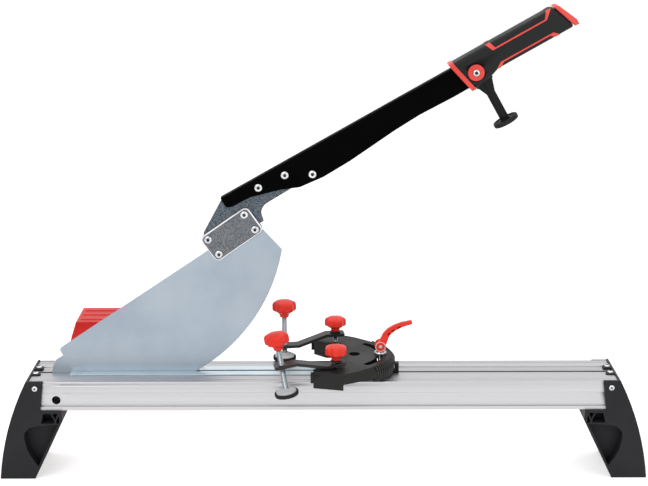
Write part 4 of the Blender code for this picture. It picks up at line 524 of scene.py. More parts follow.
def grown(name, base_mesh, tree, values, matrix=None):
    """A piece made by a geometry tree from a base mesh, then made a plain mesh."""
    holder = bpy.data.objects.new(name, base_mesh)
    bpy.context.scene.collection.objects.link(holder)
    step = holder.modifiers.new("grow", "NODES")
    step.node_group = tree
    sockets = {item.name: item.identifier for item in tree.interface.items_tree if item.in_out == "INPUT"}
    for label, value in values.items():
        step[sockets[label]] = value
    applied(holder)
    if matrix is not None:
        holder.data.transform(matrix)
    holder.data.shade_smooth()
    holder.data.set_sharp_from_angle(angle=radians(SMOOTH_ANGLE))
    return holder


def set_out(name, template, material, places):
    """Copies of a template at places, each given as a matrix; the template is used up."""
    base = bpy.data.meshes.new(name)
    base.from_pydata([matrix.translation for matrix in places], [], [])
    turn = base.attributes.new("turn", "FLOAT_VECTOR", "POINT")
    for index, matrix in enumerate(places):
        turn.data[index].vector = matrix.to_euler("XYZ")
    piece = grown(name, base, SET_OUT, {"Template": template, "Material": material})
    bpy.data.objects.remove(template)
    return piece


def template_of(solid, name):
    """A short-lived object that a tree copies."""
    return new_piece(name, solid, FINISHES["bright_steel"])


def cut_by(piece, cutter_solid):
    """The piece after one exact Boolean with a cutter."""
    cutter = new_piece("cutter", cutter_solid, FINISHES["bright_steel"])
    step = piece.modifiers.new("cut", "BOOLEAN")
    step.operation, step.solver, step.object = "DIFFERENCE", "EXACT", cutter
    applied(piece)
    bpy.data.objects.remove(cutter)
    return piece


def prism(outline, low, high):
    """A flat outline made solid between two heights."""
    solid = bmesh.new()
    lower, upper = [[solid.verts.new((u, v, level)) for u, v in outline] for level in (low, high)]
    for i in range(len(outline)):
        j = (i + 1) % len(outline)
        solid.faces.new((lower[i], lower[j], upper[j], upper[i]))
    solid.faces.new(lower)
    solid.faces.new(list(reversed(upper)))
    bmesh.ops.recalc_face_normals(solid, faces=solid.faces[:])
    return solid


# Fasteners: a head's profile in shares of its radius and height, its recess in shares of its size

HEAD_SHARES = (
    (1, 0), (1, 0.34), (0.975, 0.5), (0.90, 0.68), (0.77, 0.84), (0.58, 0.95), (0.36, 1), (0, 1.02),
)
CROSS_ARM, CROSS_HALF, CROSS_DEPTH = 0.29, 0.075, 0.4
HEXAGON_DEPTH = 0.35
ABOVE_HEAD = 1.3
# Heights of the dark disc in a recess, which paints shade at its bottom, in shares of the head's height
FLOOR_LOW, FLOOR_HIGH = 0.3, 0.62
TURN_BETWEEN_HEADS = 0.7
HEAD_STEPS, CROSS_FLOOR_SIDES, HEXAGON_SIDES = 40, 8, 6
PAN_HEAD, PAN_HEIGHT, PAN_SHANK, PAN_LENGTH, PAN_RECESS = 7.3 * MM, 2.2 * MM, 3.6 * MM, 3 * MM, 0.42
REAR_SCREW_TURN = 0.4
BUTTON_HEIGHT, BUTTON_SHANK, BUTTON_LENGTH = 2.6 * MM, 6 * MM, 2 * MM
SOCKET, SOCKET_SHADE_WIDTH = 4 * MM, 4.2 * MM
NUT_HEIGHT, NUT_CHAMFER, NUT_FACE_SHARE = 3 * MM, 0.4 * MM, 0.47
NUT_BORE, NUT_MOUTH, NUT_MOUTH_DEPTH = 2.6 * MM, 3 * MM, 0.6 * MM
ARM_BOLTS = (
    ("arm_bolts", 10 * MM, (
        "plate_bolt_lower_left", "plate_bolt_upper_left", "plate_bolt_lower_right", "plate_bolt_upper_right",
        "lever_bolt_left", "lever_bolt_middle", "lever_bolt_right",
    )),
    ("grip_bolt_head", 8.5 * MM, ("grip_bolt",)),
)


def cross_outline(arm, half):
    """The outline of a cross from half its length and half its arms' width."""
    return [
        (half, half), (half, arm), (-half, arm), (-half, half), (-arm, half), (-arm, -half),
        (-half, -half), (-half, -arm), (half, -arm), (half, -half), (arm, -half), (arm, half),
    ]


def head_solid(diameter, height, shank, length):
    """A domed screw head on a short shank."""
    radius = diameter / 2
    profile = [(0, -length), (shank / 2, -length), (shank / 2, 0)]
    profile += [(radius * r, height * h) for r, h in HEAD_SHARES]
    return turned(profile, HEAD_STEPS)


def cross_head(diameter, height, shank, length):
    """A pan head with its cross recess, as a template."""
    piece = template_of(head_solid(diameter, height, shank, length), "cross_head")
    cross = cross_outline(diameter * CROSS_ARM, diameter * CROSS_HALF)
    return cut_by(piece, prism(cross, height * CROSS_DEPTH, height * ABOVE_HEAD))


def hex_head(diameter, height, shank, length, socket):
    """A button head with its hexagon socket, as a template."""
    piece = template_of(head_solid(diameter, height, shank, length), "hex_head")
    corner = socket / sqrt(3)
    hexagon = [(corner * cos(pi * k / 3), corner * sin(pi * k / 3)) for k in range(HEXAGON_SIDES)]
    return cut_by(piece, prism(hexagon, height * HEXAGON_DEPTH, height * ABOVE_HEAD))


def socket_floor(socket, height, sides):
    """A dark disc in a recess, painted shade at the recess's bottom, as a template."""
    low, high = height * FLOOR_LOW, height * FLOOR_HIGH
    profile = [(0, low), (socket / 2, low), (socket / 2, high), (0, high)]
    return template_of(turned(profile, sides), "socket_floor")


def hex_nut(diameter):
    """A nut with its edges broken and its bore countersunk, as a template."""
    face, sunk = diameter * NUT_FACE_SHARE, NUT_HEIGHT - NUT_MOUTH_DEPTH
    profile = [
        (0, 0), (face, 0), (diameter / 2, NUT_CHAMFER), (diameter / 2, NUT_HEIGHT - NUT_CHAMFER),
        (face, NUT_HEIGHT), (NUT_MOUTH, NUT_HEIGHT), (NUT_BORE, sunk), (0, sunk),
    ]
    return template_of(turned(profile, HEXAGON_SIDES), "nut")


def head_places(nodes, way, height):
    """Matrices for heads of a height that end level with the outer end of each node."""
    way = Vector(way)
    places = []
    for index, node in enumerate(nodes):
        low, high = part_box(node)
        reach = max(abs(part * size) for part, size in zip(way, high - low)) / 2
        places.append(along((low + high) / 2 + way * (reach - height), way, index * TURN_BETWEEN_HEADS))
    return places


def bench_screws():
    """The pan-head screws of both feet, and the hidden rear flange screws."""
    tabs = [f"{side}_foot_{end}_tab_screw" for side in ("left", "right") for end in ("front", "rear")]
    fronts = [f"{side}_foot_flange_screw" for side in ("left", "right")]
    places = head_places(tabs, (0, 0, 1), PAN_HEIGHT) + head_places(fronts, (0, -1, 0), PAN_HEIGHT)
    for node in fronts:
        low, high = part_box(node)
        middle = (low + high) / 2
        rear = 2 * PIVOT.y - low.y - PAN_HEIGHT
        places.append(along(Vector((middle.x, rear, middle.z)), (0, 1, 0), REAR_SCREW_TURN))
    template = cross_head(PAN_HEAD, PAN_HEIGHT, PAN_SHANK, PAN_LENGTH)
    piece = set_out("bench_screws", template, FINISHES["bright_steel"], places)
    # Dark discs in the cross recesses: painted shade
    floor = socket_floor(PAN_HEAD * PAN_RECESS, PAN_HEIGHT, CROSS_FLOOR_SIDES)
    trim(set_out("bench_screw_recesses", floor, RECESS_PAINTED_SHADE, places), "bench")
    stands_for(piece, *tabs, *fronts)


def arm_bolts():
    """Button heads and nuts of the cutting arm."""
    for name, diameter, nodes in ARM_BOLTS:
        template = hex_head(diameter, BUTTON_HEIGHT, BUTTON_SHANK, BUTTON_LENGTH, SOCKET)
        places = head_places(nodes, (0, -1, 0), BUTTON_HEIGHT)
        heads = set_out(name, template, FINISHES["bright_steel"], places)
        # Dark discs in the hexagon sockets: painted shade
        floor = socket_floor(SOCKET_SHADE_WIDTH, BUTTON_HEIGHT, HEXAGON_SIDES)
        trim(set_out(f"{name}_recesses", floor, RECESS_PAINTED_SHADE, places), BODY_OF[nodes[0]])
        backs = head_places(nodes, (0, 1, 0), NUT_HEIGHT)
        nuts = set_out(f"{name}_nuts", hex_nut(diameter), FINISHES["bright_steel"], backs)
        stands_for(heads, *nodes)
        trim(nuts, BODY_OF[nodes[0]])


# Plank clamps: a knob's profile in shares of its radius and height, with the share of its lobes

KNOB_SHARES = (
    (0, 0, 0), (0.34, 0, 0), (0.37, 0.02, 0), (0.39, 0.10, 0.3), (0.44, 0.18, 0.7), (0.53, 0.26, 1),
    (0.66, 0.32, 1), (0.83, 0.37, 1), (0.95, 0.41, 1), (0.99, 0.46, 1), (1, 0.52, 1), (1, 0.74, 1),
    (0.985, 0.80, 1), (0.94, 0.86, 0.9), (0.84, 0.91, 0.7), (0.66, 0.955, 0.45), (0.40, 0.985, 0.15),
    (0, 1, 0),
)
LOBES, LOBE_DEPTH, LOBE_SHARPNESS = 6, 0.13, 1.6
KNOB_STEPS, KNOB_ANGLE = 120, 50
THREAD_STEPS, THREAD_ANGLE = 28, 25
PAD_STEPS = 72
SPINDLE_RADIUS, SPINDLE_PITCH, SPINDLE_THREAD, SPINDLE_LOW = 3.5 * MM, 1.25 * MM, 0.42 * MM, 4.35 * MM
STUD_RADIUS, STUD_PITCH, STUD_THREAD, STUD_IN_KNOB = 3 * MM, 1.0 * MM, 0.35 * MM, 4 * MM
TOP_KNOB_WIDTH, TOP_KNOB_HEIGHT, ROD_IN_TOP_KNOB, ROD_END_GAP = 31 * MM, 22 * MM, 11 * MM, 0.3 * MM
ARM_KNOB_WIDTH, ARM_KNOB_HEIGHT = 28 * MM, 19 * MM
CLAMPS = {
    "front": {"rod": 67.5 * MM, "turn": 0.25, "arm_turn": 0.5},
    "rear": {"rod": 64.5 * MM, "turn": 0.1, "arm_turn": 0.0},
}
# Radius and height of each corner, in millimetres
PAD_BOOT = (
    (0, 0), (10, 0), (10.4, 0.5), (10.8, 0), (13.6, 0), (14.6, 0.35), (15, 1.2), (15, 4.2), (14.7, 4.85),
    (14.2, 5), (13.4, 5), (13, 4.6), (13, 2.5), (0, 2.5),
)
PAD_DISC = (
    (0, 2.8), (12.4, 2.8), (12.7, 3.1), (12.7, 5.6), (12.3, 6.4), (11.2, 7.1), (9, 8.0), (7, 8.6), (6, 9.4),
    (5.2, 10), (3.8, 10), (3.8, 4.05), (0, 4.05),
)


def knob(name, diameter, height, matrix, turn):
    """A lobed knob with its tapering hub down."""
    def dip(index, angle):
        wave = (1 - cos(LOBES * angle)) / 2
        return LOBE_DEPTH * KNOB_SHARES[index][2] * wave ** LOBE_SHARPNESS
    profile = [(diameter / 2 * r, height * h) for r, h, _ in KNOB_SHARES]
    solid = turned(profile, KNOB_STEPS, matrix @ Matrix.Rotation(turn, 4, "Z"), dip)
    return new_piece(name, solid, FINISHES["red_plastic"], KNOB_ANGLE)


def threaded_rod(name, radius, pitch, depth, low, high, matrix):
    """A rod with a real screw thread."""
    count = int((high - low) / pitch * THREAD_STEPS) + THREAD_STEPS
    solid = bmesh.new()

    def point(angle_step, height, reach):
        angle = 2 * pi * angle_step / THREAD_STEPS
        return solid.verts.new((reach * cos(angle), reach * sin(angle), min(max(height, low), high)))
    roots, crests = [], []
    for k in range(-THREAD_STEPS, count):
        height = low + pitch * k / THREAD_STEPS
        roots.append(point(k, height, radius - depth))
        crests.append(point(k, height + pitch / 2, radius))
    for k in range(len(roots) - THREAD_STEPS - 1):
        turn_later = k + THREAD_STEPS
        solid.faces.new((roots[k], roots[k + 1], crests[k + 1], crests[k]))
        solid.faces.new((crests[k], crests[k + 1], roots[turn_later + 1], roots[turn_later]))
    bmesh.ops.remove_doubles(solid, verts=solid.verts[:], dist=MERGE)
    bmesh.ops.dissolve_degenerate(solid, dist=MERGE, edges=solid.edges[:])
    bmesh.ops.holes_fill(solid, edges=solid.edges[:], sides=0)
    bmesh.ops.recalc_face_normals(solid, faces=solid.faces[:])
    bmesh.ops.transform(solid, matrix=matrix, verts=solid.verts[:])
    return new_piece(name, solid, ROD_STEEL, THREAD_ANGLE)


def clamp_spindle(clamp, axis, sizes):
    """The threaded spindle and the knob on its top."""
    high = SPINDLE_LOW + sizes["rod"]
    rod = threaded_rod(
        f"{clamp}_threaded_spindle", SPINDLE_RADIUS, SPINDLE_PITCH, SPINDLE_THREAD, SPINDLE_LOW, high, axis
    )
    stands_for(rod, f"{clamp}_spindle")
    knob_place = axis @ Matrix.Translation((0, 0, high + ROD_END_GAP - ROD_IN_TOP_KNOB))
    top = knob(f"{clamp}_spindle_top", TOP_KNOB_WIDTH, TOP_KNOB_HEIGHT, knob_place, sizes["turn"])
    stands_for(top, f"{clamp}_spindle_knob")


def clamp_stud(clamp, sizes):
    """The knob that holds the clamp's arm, and its threaded stud."""
    low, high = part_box(f"{clamp}_arm_knob")
    across, along_y, _ = JOINTS[f"{clamp}_knob_turn"]["pos_m"]
    base = high.z - ARM_KNOB_HEIGHT
    place = Matrix.Translation((across, along_y, base))
    arm_knob = knob(f"{clamp}_arm_top", ARM_KNOB_WIDTH, ARM_KNOB_HEIGHT, place, sizes["arm_turn"])
    stands_for(arm_knob, f"{clamp}_arm_knob")
    shank = threaded_rod(
        f"{clamp}_arm_stud", STUD_RADIUS, STUD_PITCH, STUD_THREAD, 0, base - low.z + STUD_IN_KNOB,
        Matrix.Translation((across, along_y, low.z)),
    )
    trim(shank, f"{clamp}_knob_body")


def clamp_pad(clamp, axis):
    """The rubber boot and the disc that it is pulled over."""
    boot = turned(in_metres(PAD_BOOT), PAD_STEPS, axis)
    stands_for(new_piece(f"{clamp}_pad_boot", boot, FINISHES["black_rubber"]), f"{clamp}_pad_rubber")
    disc = turned(in_metres(PAD_DISC), PAD_STEPS, axis)
    stands_for(new_piece(f"{clamp}_pad_disc", disc, FINISHES["grey_plastic"]), f"{clamp}_pad_cap")


def plank_clamp(word):
    """Knobs, threaded spindle and pad of one clamp."""
    clamp = f"{word}_clamp"
    spindle = JOINTS[f"{clamp}_spindle_turn"]
    axis = along(Vector(spindle["pos_m"]), spindle["axis"])
    clamp_spindle(clamp, axis, CLAMPS[word])
    clamp_stud(clamp, CLAMPS[word])
    clamp_pad(clamp, axis)


# Grip: its inlays' outlines are across and up, in millimetres, with the arm level

GRIP_START, GRIP_END = arm_box("grip")
GRIP_TOP, GRIP_HALF = GRIP_END.z, (GRIP_END.y - GRIP_START.y) / 2
GRIP_LOW, GRIP_ROUND = 89.8 * MM, 4 * MM
GRIP_MIDDLE = (GRIP_TOP + GRIP_LOW) / 2
UPPER_INLAY = (
    (679.6, 122.25), (684.4, 112.7), (757, 112.7), (767.2, 122.25), (761, 122.25), (755, 114.5),
    (688.6, 114.5), (685.4, 122.25),
)
LOWER_INLAY = (
    (677.2, 89.85), (683.4, 89.85), (689.4, 94.2), (752.4, 94.2), (757.4, 89.85), (763.6, 89.85),
    (757.4, 96.0), (686.2, 96.0),
)
INLAY_SUNK, INLAY_LIFT = 0.15 * MM, 0.5 * MM
ROUNDING_CUTS = (0.02, 0.08, 0.18, 0.32, 0.5, 0.7, 1)
INLAY_ANGLE = 40


def into_rounding(height):
    """How far a height lies in the grip's rounded edge: above zero at the top, below it at the foot."""
    if height > GRIP_MIDDLE:
        return max(height - (GRIP_TOP - GRIP_ROUND), 0)
    return min(height - (GRIP_LOW + GRIP_ROUND), 0)


def grip_face(height):
    """Half width of the rounded grip at a height."""
    over = min(abs(into_rounding(height)), GRIP_ROUND)
    return GRIP_HALF - GRIP_ROUND + sqrt(GRIP_ROUND ** 2 - over ** 2)


def grip_inlay(name, outline, side):
    """A red strip let into the grip's face, which follows the rounded edge."""
    solid = bmesh.new()
    solid.faces.new([solid.verts.new((x, 0, z)) for x, z in in_metres(outline)])
    bmesh.ops.triangulate(solid, faces=solid.faces[:])
    for edge_height, way in ((GRIP_TOP, -1), (GRIP_LOW, 1)):
        for share in ROUNDING_CUTS:
            level = (0, 0, edge_height + way * GRIP_ROUND * share)
            geometry = solid.verts[:] + solid.edges[:] + solid.faces[:]
            bmesh.ops.bisect_plane(solid, geom=geometry, plane_co=level, plane_no=(0, 0, 1), dist=MERGE)
    for vert in solid.verts:
        vert.co.y = side * (grip_face(vert.co.z) - INLAY_SUNK)
    raised_part = bmesh.ops.extrude_face_region(solid, geom=solid.faces[:])["geom"]
    for vert in [item for item in raised_part if isinstance(item, bmesh.types.BMVert)]:
        over = into_rounding(vert.co.z)
        slope = min(abs(over) / GRIP_ROUND, 1)
        vert.co.y += side * INLAY_LIFT * sqrt(max(1 - slope ** 2, 0))
        vert.co.z += INLAY_LIFT * slope * (1 if over > 0 else -1)
    bmesh.ops.recalc_face_normals(solid, faces=solid.faces[:])
    bmesh.ops.transform(solid, matrix=ARM, verts=solid.verts[:])
    trim(new_piece(name, solid, GRIP_RED, INLAY_ANGLE), "cutting_arm")


# Lever and plates

LEVER_START, LEVER_END = arm_box("lever")
LEVER_TOP, LEVER_HALF = LEVER_END.z, (LEVER_END.y - LEVER_START.y) / 2
LEVER_FOLD, LEVER_FOLD_STEPS, LEVER_EDGE, LEVER_EDGE_ANGLE = 1.8 * MM, 5, 0.35 * MM, 40
NEAR = 0.02 * MM
# A plate's rim and the share of a face's normal across the plate, for its flat faces and its slanted ones
PLATE_RIM, PLATE_ANGLE = 0.7 * MM, 25
PLATE_FLAT = 0.99
PLATE_SLANT = (0.3, 0.95)


def channel_lever():
    """The folded channel with rounded folds along its top."""
    solid = merged_copy("lever", ARM.inverted())

    def at_fold(vert):
        return abs(vert.co.z - LEVER_TOP) < NEAR and abs(abs(vert.co.y) - LEVER_HALF) < NEAR
    folds = [
        edge for edge in solid.edges
        if all(at_fold(vert) for vert in edge.verts) and abs(edge.verts[0].co.x - edge.verts[1].co.x) > MM
    ]
    bmesh.ops.bevel(
        solid, geom=folds, offset=LEVER_FOLD, segments=LEVER_FOLD_STEPS, profile=0.5, affect="EDGES"
    )
    bmesh.ops.transform(solid, matrix=ARM, verts=solid.verts[:])
    piece = new_piece("channel_lever", solid, FINISHES["black_gloss_paint"], EDGE_ANGLE)
    stands_for(soften(piece, LEVER_EDGE, LEVER_EDGE_ANGLE), "lever")


def joint_plate(word):
    """A spangled plate whose bevelled rim is painted bright, a painted highlight where the rim catches the
    light.
    """
    node = f"{word}_joint_plate"
    solid = merged_copy(node)
    flat = [face for face in solid.faces if abs(face.normal.y) > PLATE_FLAT]
    # The band round each flat face and the slanted faces take the painted highlight
    for face in bmesh.ops.inset_region(solid, faces=flat, thickness=PLATE_RIM, use_even_offset=True)["faces"]:
        face.material_index = 1
    piece = new_piece(f"{word}_spangled_plate", solid, PLATE_SPANGLE, PLATE_ANGLE)
    piece.data.materials.append(RIM_PAINTED_HIGHLIGHT)
    for face in piece.data.polygons:
        if PLATE_SLANT[0] < abs(face.normal.y) < PLATE_SLANT[1]:
            face.material_index = 1
    stands_for(piece, node)


# Gauge details: each row of ribs has a name, a radius, a height, a slope in degrees and a rib's size

RIB_ROWS = (
    ("gauge_rim_ribs", 65.4 * MM, 149.8 * MM, 45, (7.4 * MM, 1.7 * MM, 2.4 * MM)),
    ("gauge_wall_ribs", 68.2 * MM, 144.2 * MM, 90, (5.9 * MM, 1.7 * MM, 1.2 * MM)),
)
RIB_COUNT, FIRST_RIB, RIB_STEP = 30, -48.6, 3.35
SIGHT_HOLE_SHIFT, SIGHT_HOLE_RADIUS, SIGHT_HOLE_STEPS = 17 * MM, 8.2 * MM, 48
SIGHT_FLOOR_LOW = 147.5 * MM
# Share of the radius, and height above the floor's underside in millimetres
SIGHT_FLOOR = ((0, 0), (0.96, 0), (1, 0.2), (1, 0.8), (0.9, 0.5), (0, 0.5))


def gauge_ribs():
    """Radial ribs on the gauge's sloped rim and on the wall below it, lighter than the gauge as a painted
    highlight.
    """
    place = Matrix.Translation((GAUGE_AXIS.x, GAUGE_AXIS.y, 0))
    for name, radius, height, slope, size in RIB_ROWS:
        base = bpy.data.meshes.new("rib_base")
        base.from_pydata([(0, 0, 0)], [], [])
        piece = grown(name, base, RIBS, {
            "Count": RIB_COUNT, "Radius": radius, "Height": height, "First Angle": radians(FIRST_RIB),
            "Step Angle": radians(RIB_STEP), "Slope": radians(slope), "Rib Size": size,
            "Material": RIB_PAINTED_HIGHLIGHT,
        }, place)
        trim(piece, "gauge")


def sight_hole_floor():
    """The dark dish seen down the sight hole: painted shade at the bottom of the hole."""
    profile = [(SIGHT_HOLE_RADIUS * share, up * MM) for share, up in SIGHT_FLOOR]
    place = Matrix.Translation((GAUGE_AXIS.x + SIGHT_HOLE_SHIFT, GAUGE_AXIS.y, SIGHT_FLOOR_LOW))
    dish = turned(profile, SIGHT_HOLE_STEPS, place)
    trim(new_piece("sight_hole_floor", dish, HOLLOW_PAINTED_SHADE), "gauge")


# Cam lever details: the line of its arm in shares of its reach and rise

CAM_LINE_SHARES = ((0.19, 0.47), (0.30, 0.63), (0.48, 0.78), (0.72, 0.91))
CAM_REACH, CAM_RISE = 38 * MM, 31 * MM
WEB_SIZE, WEB_LIFT, WEB_EDGE = (5.4 * MM, 2.2 * MM, 2.4 * MM), 1.6 * MM, 0.2 * MM
RING_INNER, RING_OUTER, RING_FACE, RING_EDGE = 5.6 * MM, 6.6 * MM, 6 * MM, 0.3 * MM
RING_BELOW, RING_SHOULDER, RING_ABOVE, RING_STEPS = 0.4 * MM, 0.15 * MM, 0.4 * MM, 48
PIN_END, PIN_STEPS = 6.4 * MM, 36
# Radius and depth below the pin's end, in millimetres
PIN_END_PROFILE = ((0, 0), (1.5, 0), (2.1, 0.3), (2.3, 0.7))


def cam_rings():
    """Light rings round the pin on both sides."""
    low, shoulder, top = RING_FACE - RING_BELOW, RING_FACE + RING_SHOULDER, RING_FACE + RING_ABOVE
    profile = [
        (RING_INNER, low), (RING_OUTER, low), (RING_OUTER, shoulder), (RING_OUTER - RING_EDGE, top),
        (RING_INNER + RING_EDGE, top), (RING_INNER, shoulder), (RING_INNER, low),
    ]
    rings = bmesh.new()
    for side in (-1, 1):
        ring = turned(profile, RING_STEPS, along(CAM_AXIS, (0, side, 0)))
        bmesh.ops.remove_doubles(ring, verts=ring.verts[:], dist=MERGE)
        holder = bpy.data.meshes.new("ring")
        ring.to_mesh(holder)
        ring.free()
        rings.from_mesh(holder)
    trim(new_piece("cam_rings", rings, PALE_PLASTIC), "cam")


def cam_pin():
    """The pin with its riveted ends."""
    near = in_metres(PIN_END_PROFILE)
    profile = [(radius, depth - PIN_END) for radius, depth in near]
    profile += [(radius, PIN_END - depth) for radius, depth in reversed(near)]
    pin = turned(profile, PIN_STEPS, along(CAM_AXIS, (0, -1, 0)))
    stands_for(new_piece("cam_pin_rivet", pin, PALE_PLASTIC), "cam_pin")


def cam_web():
    """The web seen in the arm's slits, one block for each slit, coloured near-black as painted shade."""
    web = bmesh.new()
    line = [Vector((u * CAM_REACH, 0, v * CAM_RISE)) for u, v in CAM_LINE_SHARES]
    for first, second in zip(line, line[1:]):
        way = (second - first).normalized()
        across = Vector((way.z, 0, -way.x))
        turn = Matrix((way, Vector((0, 1, 0)), across)).transposed().to_4x4()
        turn.translation = CAM_AXIS + ((first + second) / 2 + across * WEB_LIFT)
        bmesh.ops.create_cube(web, size=1, matrix=turn @ Matrix.Diagonal((*WEB_SIZE, 1)))
    trim(soften(new_piece("cam_slit_web", web, HOLLOW_PAINTED_SHADE), WEB_EDGE), "cam")


# Bench details

STRIP_SCREW_RADIUS, STRIP_SCREW_STEPS, STRIP_SCREW_FORWARD = 2.9 * MM, 36, 1 * MM
STRIP_SCREW_INSETS = (12 * MM, 168 * MM, 318 * MM)
# Share of the radius, and height in millimetres
STRIP_SCREW = ((0, -1), (0.8, -1), (1, -0.1), (1, 0.15), (0.92, 0.25), (0, 0.25))
STRIP_CROSS_ARM, STRIP_CROSS_HALF, STRIP_CROSS_DEPTH = 1.8 * MM, 0.45 * MM, 0.5 * MM
CENTRE_MARK_X, CENTRE_MARK_HEIGHT, CENTRE_MARK_STEPS = -330.8 * MM, 124.9 * MM, 24
# Radius and height of each corner, in millimetres
CENTRE_MARK = ((0, -1.2), (0.8, -1.1), (1.3, 0), (1.3, 1), (0, 1))
STOP_PAD = (
    (0, 1.2), (10.5, 1.2), (11.5, 0.3), (12.2, 0), (14.6, 0), (15.6, 0.5), (16, 1.4), (16, 4.4), (15.7, 5.4),
    (14.8, 6), (13.4, 6), (12.8, 5.4), (12.4, 4.6), (6.0, 4.6), (5.2, 5.2), (4.8, 6), (0, 6),
)
STOP_PAD_STEPS = 80
PROFILE_EDGE, FOOT_EDGE = 0.15 * MM, 0.4 * MM
REAR_FLANGE_LOWERED, REAR_FLANGE_GAP = 2.4 * MM, 0.05 * MM


def strip_screws():
    """The countersunk screws of the wear strips, a little in front of each strip's middle."""
    profile = [(STRIP_SCREW_RADIUS * share, up * MM) for share, up in STRIP_SCREW]
    template = template_of(turned(profile, STRIP_SCREW_STEPS), "strip_screw")
    cut_by(template, prism(cross_outline(STRIP_CROSS_ARM, STRIP_CROSS_HALF), -STRIP_CROSS_DEPTH, MM))
    places = []
    for node in ("front_wear_strip", "rear_wear_strip"):
        low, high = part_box(node)
        for inset in STRIP_SCREW_INSETS:
            across = (low.y + high.y) / 2 - STRIP_SCREW_FORWARD
            places.append(Matrix.Translation((low.x + inset, across, high.z)))
    trim(set_out("strip_screws", template, FINISHES["bright_steel"], places), "bench")


def front_profile_skin():
    """The front profile with its drilled centre mark."""
    piece = new_piece("front_profile_skin", merged_copy("front_profile"), FINISHES["aluminium"], EDGE_ANGLE)
    soften(piece, PROFILE_EDGE)
    low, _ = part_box("front_profile")
    place = along(Vector((CENTRE_MARK_X, low.y, CENTRE_MARK_HEIGHT)), (0, -1, 0))
    mark = turned(in_metres(CENTRE_MARK), CENTRE_MARK_STEPS, place)
    stands_for(cut_by(piece, mark), "front_profile")


def foot_skin(word):
    """A foot whose rear flange ends lower, so that it doesn't show above the table."""
    node = f"{word}_foot"
    low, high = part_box(node)
    piece = new_piece(f"{node}_skin", merged_copy(node), FOOT_PLASTIC, EDGE_ANGLE)
    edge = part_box("rear_profile")[1].y + REAR_FLANGE_GAP
    plan = [(low.x - MM, edge), (high.x + MM, edge), (high.x + MM, high.y + MM), (low.x - MM, high.y + MM)]
    cut_by(piece, prism(plan, high.z - REAR_FLANGE_LOWERED, high.z + MM))
    stands_for(soften(piece, FOOT_EDGE), node)


def stop_pad():
    """The round stop pad with its raised rim."""
    low, high = arm_box("stop_pad")
    place = ARM @ Matrix.Translation(((low.x + high.x) / 2, 0, low.z))
    pad = turned(in_metres(STOP_PAD), STOP_PAD_STEPS, place)
    stands_for(new_piece("stop_pad_disc", pad, FINISHES["black_rubber"]), "stop_pad")


# Every piece

# Width of the softened edge in millimetres, and the angle past which an edge is softened
SKINS = {
    "grip": (0, 42), "grip_collar": (0.8, 32), "grip_end_cap": (0.5, 42), "blade": (0.35, 32),
    "gauge_body": (0.45, 32), "plank_support": (1.0, 32), "rear_profile": (0.15, 32), "cam_lever": (0.5, 40),
    "stop_stem": (0.25, 32), "front_clamp_arm": (0.5, 32), "rear_clamp_arm": (0.5, 32),
    "lever_bracket": (0.3, 32),
}
OTHER_SKIN = (0.2, EDGE_ANGLE)


def dress():
    """Shows every CAD node as a finished piece."""
    bench_screws()
    arm_bolts()
    for word in ("front", "rear"):
        plank_clamp(word)
        joint_plate(word)
    channel_lever()
    gauge_ribs()
    sight_hole_floor()
    cam_rings()
    cam_pin()
    cam_web()
    strip_screws()
    front_profile_skin()
    stop_pad()
    foot_skin("left")
    foot_skin("right")
    for word, side in (("front", -1), ("rear", 1)):
        grip_inlay(f"upper_inlay_{word}", UPPER_INLAY, side)
        grip_inlay(f"lower_inlay_{word}", LOWER_INLAY, side)
    shown = set()
    for piece in bpy.data.objects:
        shown.update(piece.get("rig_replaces", []))
    for node in sorted(frame["nodes"]):
        if node not in shown:
            width, angle = SKINS.get(node, OTHER_SKIN)
            skin(node, width * MM, angle)


dress()


# Camera, light and floor

# Each light has a name, a place, what it aims at, its size and its power
LIGHTS = (
    ("key", (-1.0, -1.6, 1.7), (0, 0, 0.2), 1.4, 16),
    ("fill", (1.4, -1.5, 1.1), (0, 0, 0.15), 1.4, 8),
    ("top", (0.1, 0.5, 1.9), (0, 0, 0.1), 1.6, 11),
)
LIGHTING_STRENGTH, SEEN_STRENGTH = 0.55, 1.0
FLOOR_REACH, FLOOR_LEVEL = 60.0, -0.0002
FLOOR_COLOUR, FLOOR_ROUGHNESS, FLOOR_SPECULAR, FLOOR_GLOW = (0.92, 0.92, 0.92, 1), 0.8, 0.1, 0.5


def photo_camera():
    """The camera at the photograph's place."""
    data = bpy.data.cameras.new("photo_camera")
    data.sensor_fit, data.sensor_width, data.lens = "HORIZONTAL", SENSOR_WIDTH, CAMERA_LENS
    camera = bpy.data.objects.new("photo_camera", data)
    pitch, yaw, roll = radians(CAMERA_PITCH), radians(CAMERA_YAW), radians(CAMERA_ROLL)
    ahead = Vector((sin(yaw) * cos(pitch), cos(yaw) * cos(pitch), -sin(pitch)))
    right = Vector((cos(yaw), -sin(yaw), 0))
    right = right * cos(roll) + right.cross(ahead) * sin(roll)
    turn = Matrix((right, right.cross(ahead), -ahead)).transposed().to_4x4()
    turn.translation = CAMERA_PLACE
    camera.matrix_world = turn
    bpy.context.scene.collection.objects.link(camera)
    bpy.context.scene.camera = camera


def soft_light(name, place, aim, size, power):
    """A square soft box."""
    data = bpy.data.lights.new(name, "AREA")
    data.size, data.energy = size, power
    lamp = bpy.data.objects.new(name, data)
    lamp.location = place
    lamp.rotation_euler = (Vector(aim) - Vector(place)).to_track_quat("-Z", "Y").to_euler()
    bpy.context.scene.collection.objects.link(lamp)


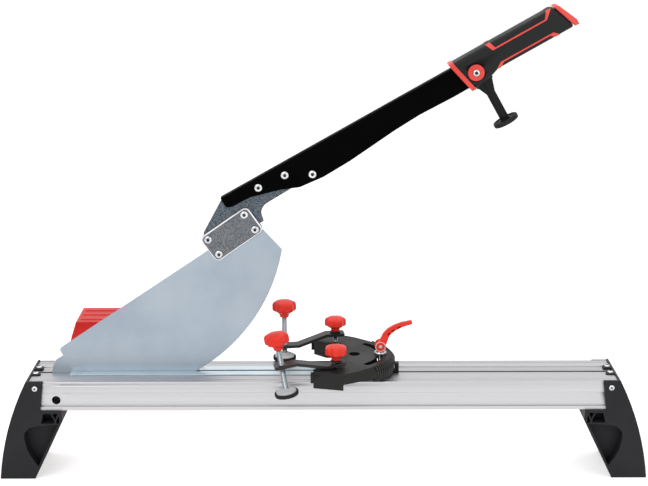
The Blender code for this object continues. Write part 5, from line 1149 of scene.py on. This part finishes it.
def white_surround():
    """A world that is white where it is seen or mirrored and softer where it lights."""
    world = bpy.data.worlds.new("studio")
    world.use_nodes = True
    bpy.context.scene.world = world
    tree = world.node_tree
    background = tree.nodes["Background"]
    background.inputs["Color"].default_value = (1, 1, 1, 1)
    ray = tree.nodes.new("ShaderNodeLightPath").outputs
    seen = add_node(tree, MATH, operation="MAXIMUM", in_0=ray["Is Camera Ray"], in_1=ray["Is Glossy Ray"])
    seen_through = add_node(
        tree, MATH, operation="MAXIMUM", in_0=seen.outputs[0], in_1=ray["Is Transmission Ray"]
    )
    strength = add_node(
        tree, RANGE, in_Value=seen_through.outputs[0], in_To_Min=LIGHTING_STRENGTH, in_To_Max=SEEN_STRENGTH
    )
    tree.links.new(strength.outputs["Result"], background.inputs["Strength"])


def studio_floor():
    """A pale floor that keeps the tool's shadow."""
    mesh = bpy.data.meshes.new("floor")
    sides = ((-1, -1), (1, -1), (1, 1), (-1, 1))
    corners = [(u * FLOOR_REACH, v * FLOOR_REACH, FLOOR_LEVEL) for u, v in sides]
    mesh.from_pydata(corners, [], [(0, 1, 2, 3)])
    floor = bpy.data.objects.new("floor", mesh)
    bpy.context.scene.collection.objects.link(floor)
    material = bpy.data.materials.new("floor")
    material.use_nodes = True
    tree = material.node_tree
    shader = tree.nodes["Principled BSDF"]
    shader.inputs["Base Color"].default_value = FLOOR_COLOUR
    shader.inputs["Roughness"].default_value = FLOOR_ROUGHNESS
    shader.inputs["Specular IOR Level"].default_value = FLOOR_SPECULAR
    shader.inputs["Emission Color"].default_value = (1, 1, 1, 1)
    ray = tree.nodes.new("ShaderNodeLightPath").outputs
    lit = add_node(tree, MATH, operation="MAXIMUM", in_0=ray["Is Camera Ray"], in_1=ray["Is Glossy Ray"])
    glow = add_node(tree, MATH, operation="MULTIPLY", in_0=lit.outputs[0], in_1=FLOOR_GLOW)
    tree.links.new(glow.outputs[0], shader.inputs["Emission Strength"])
    mesh.materials.append(material)


photo_camera()
white_surround()
studio_floor()
for light in LIGHTS:
    soft_light(*light)
bpy.context.scene.view_settings.view_transform = "Standard"
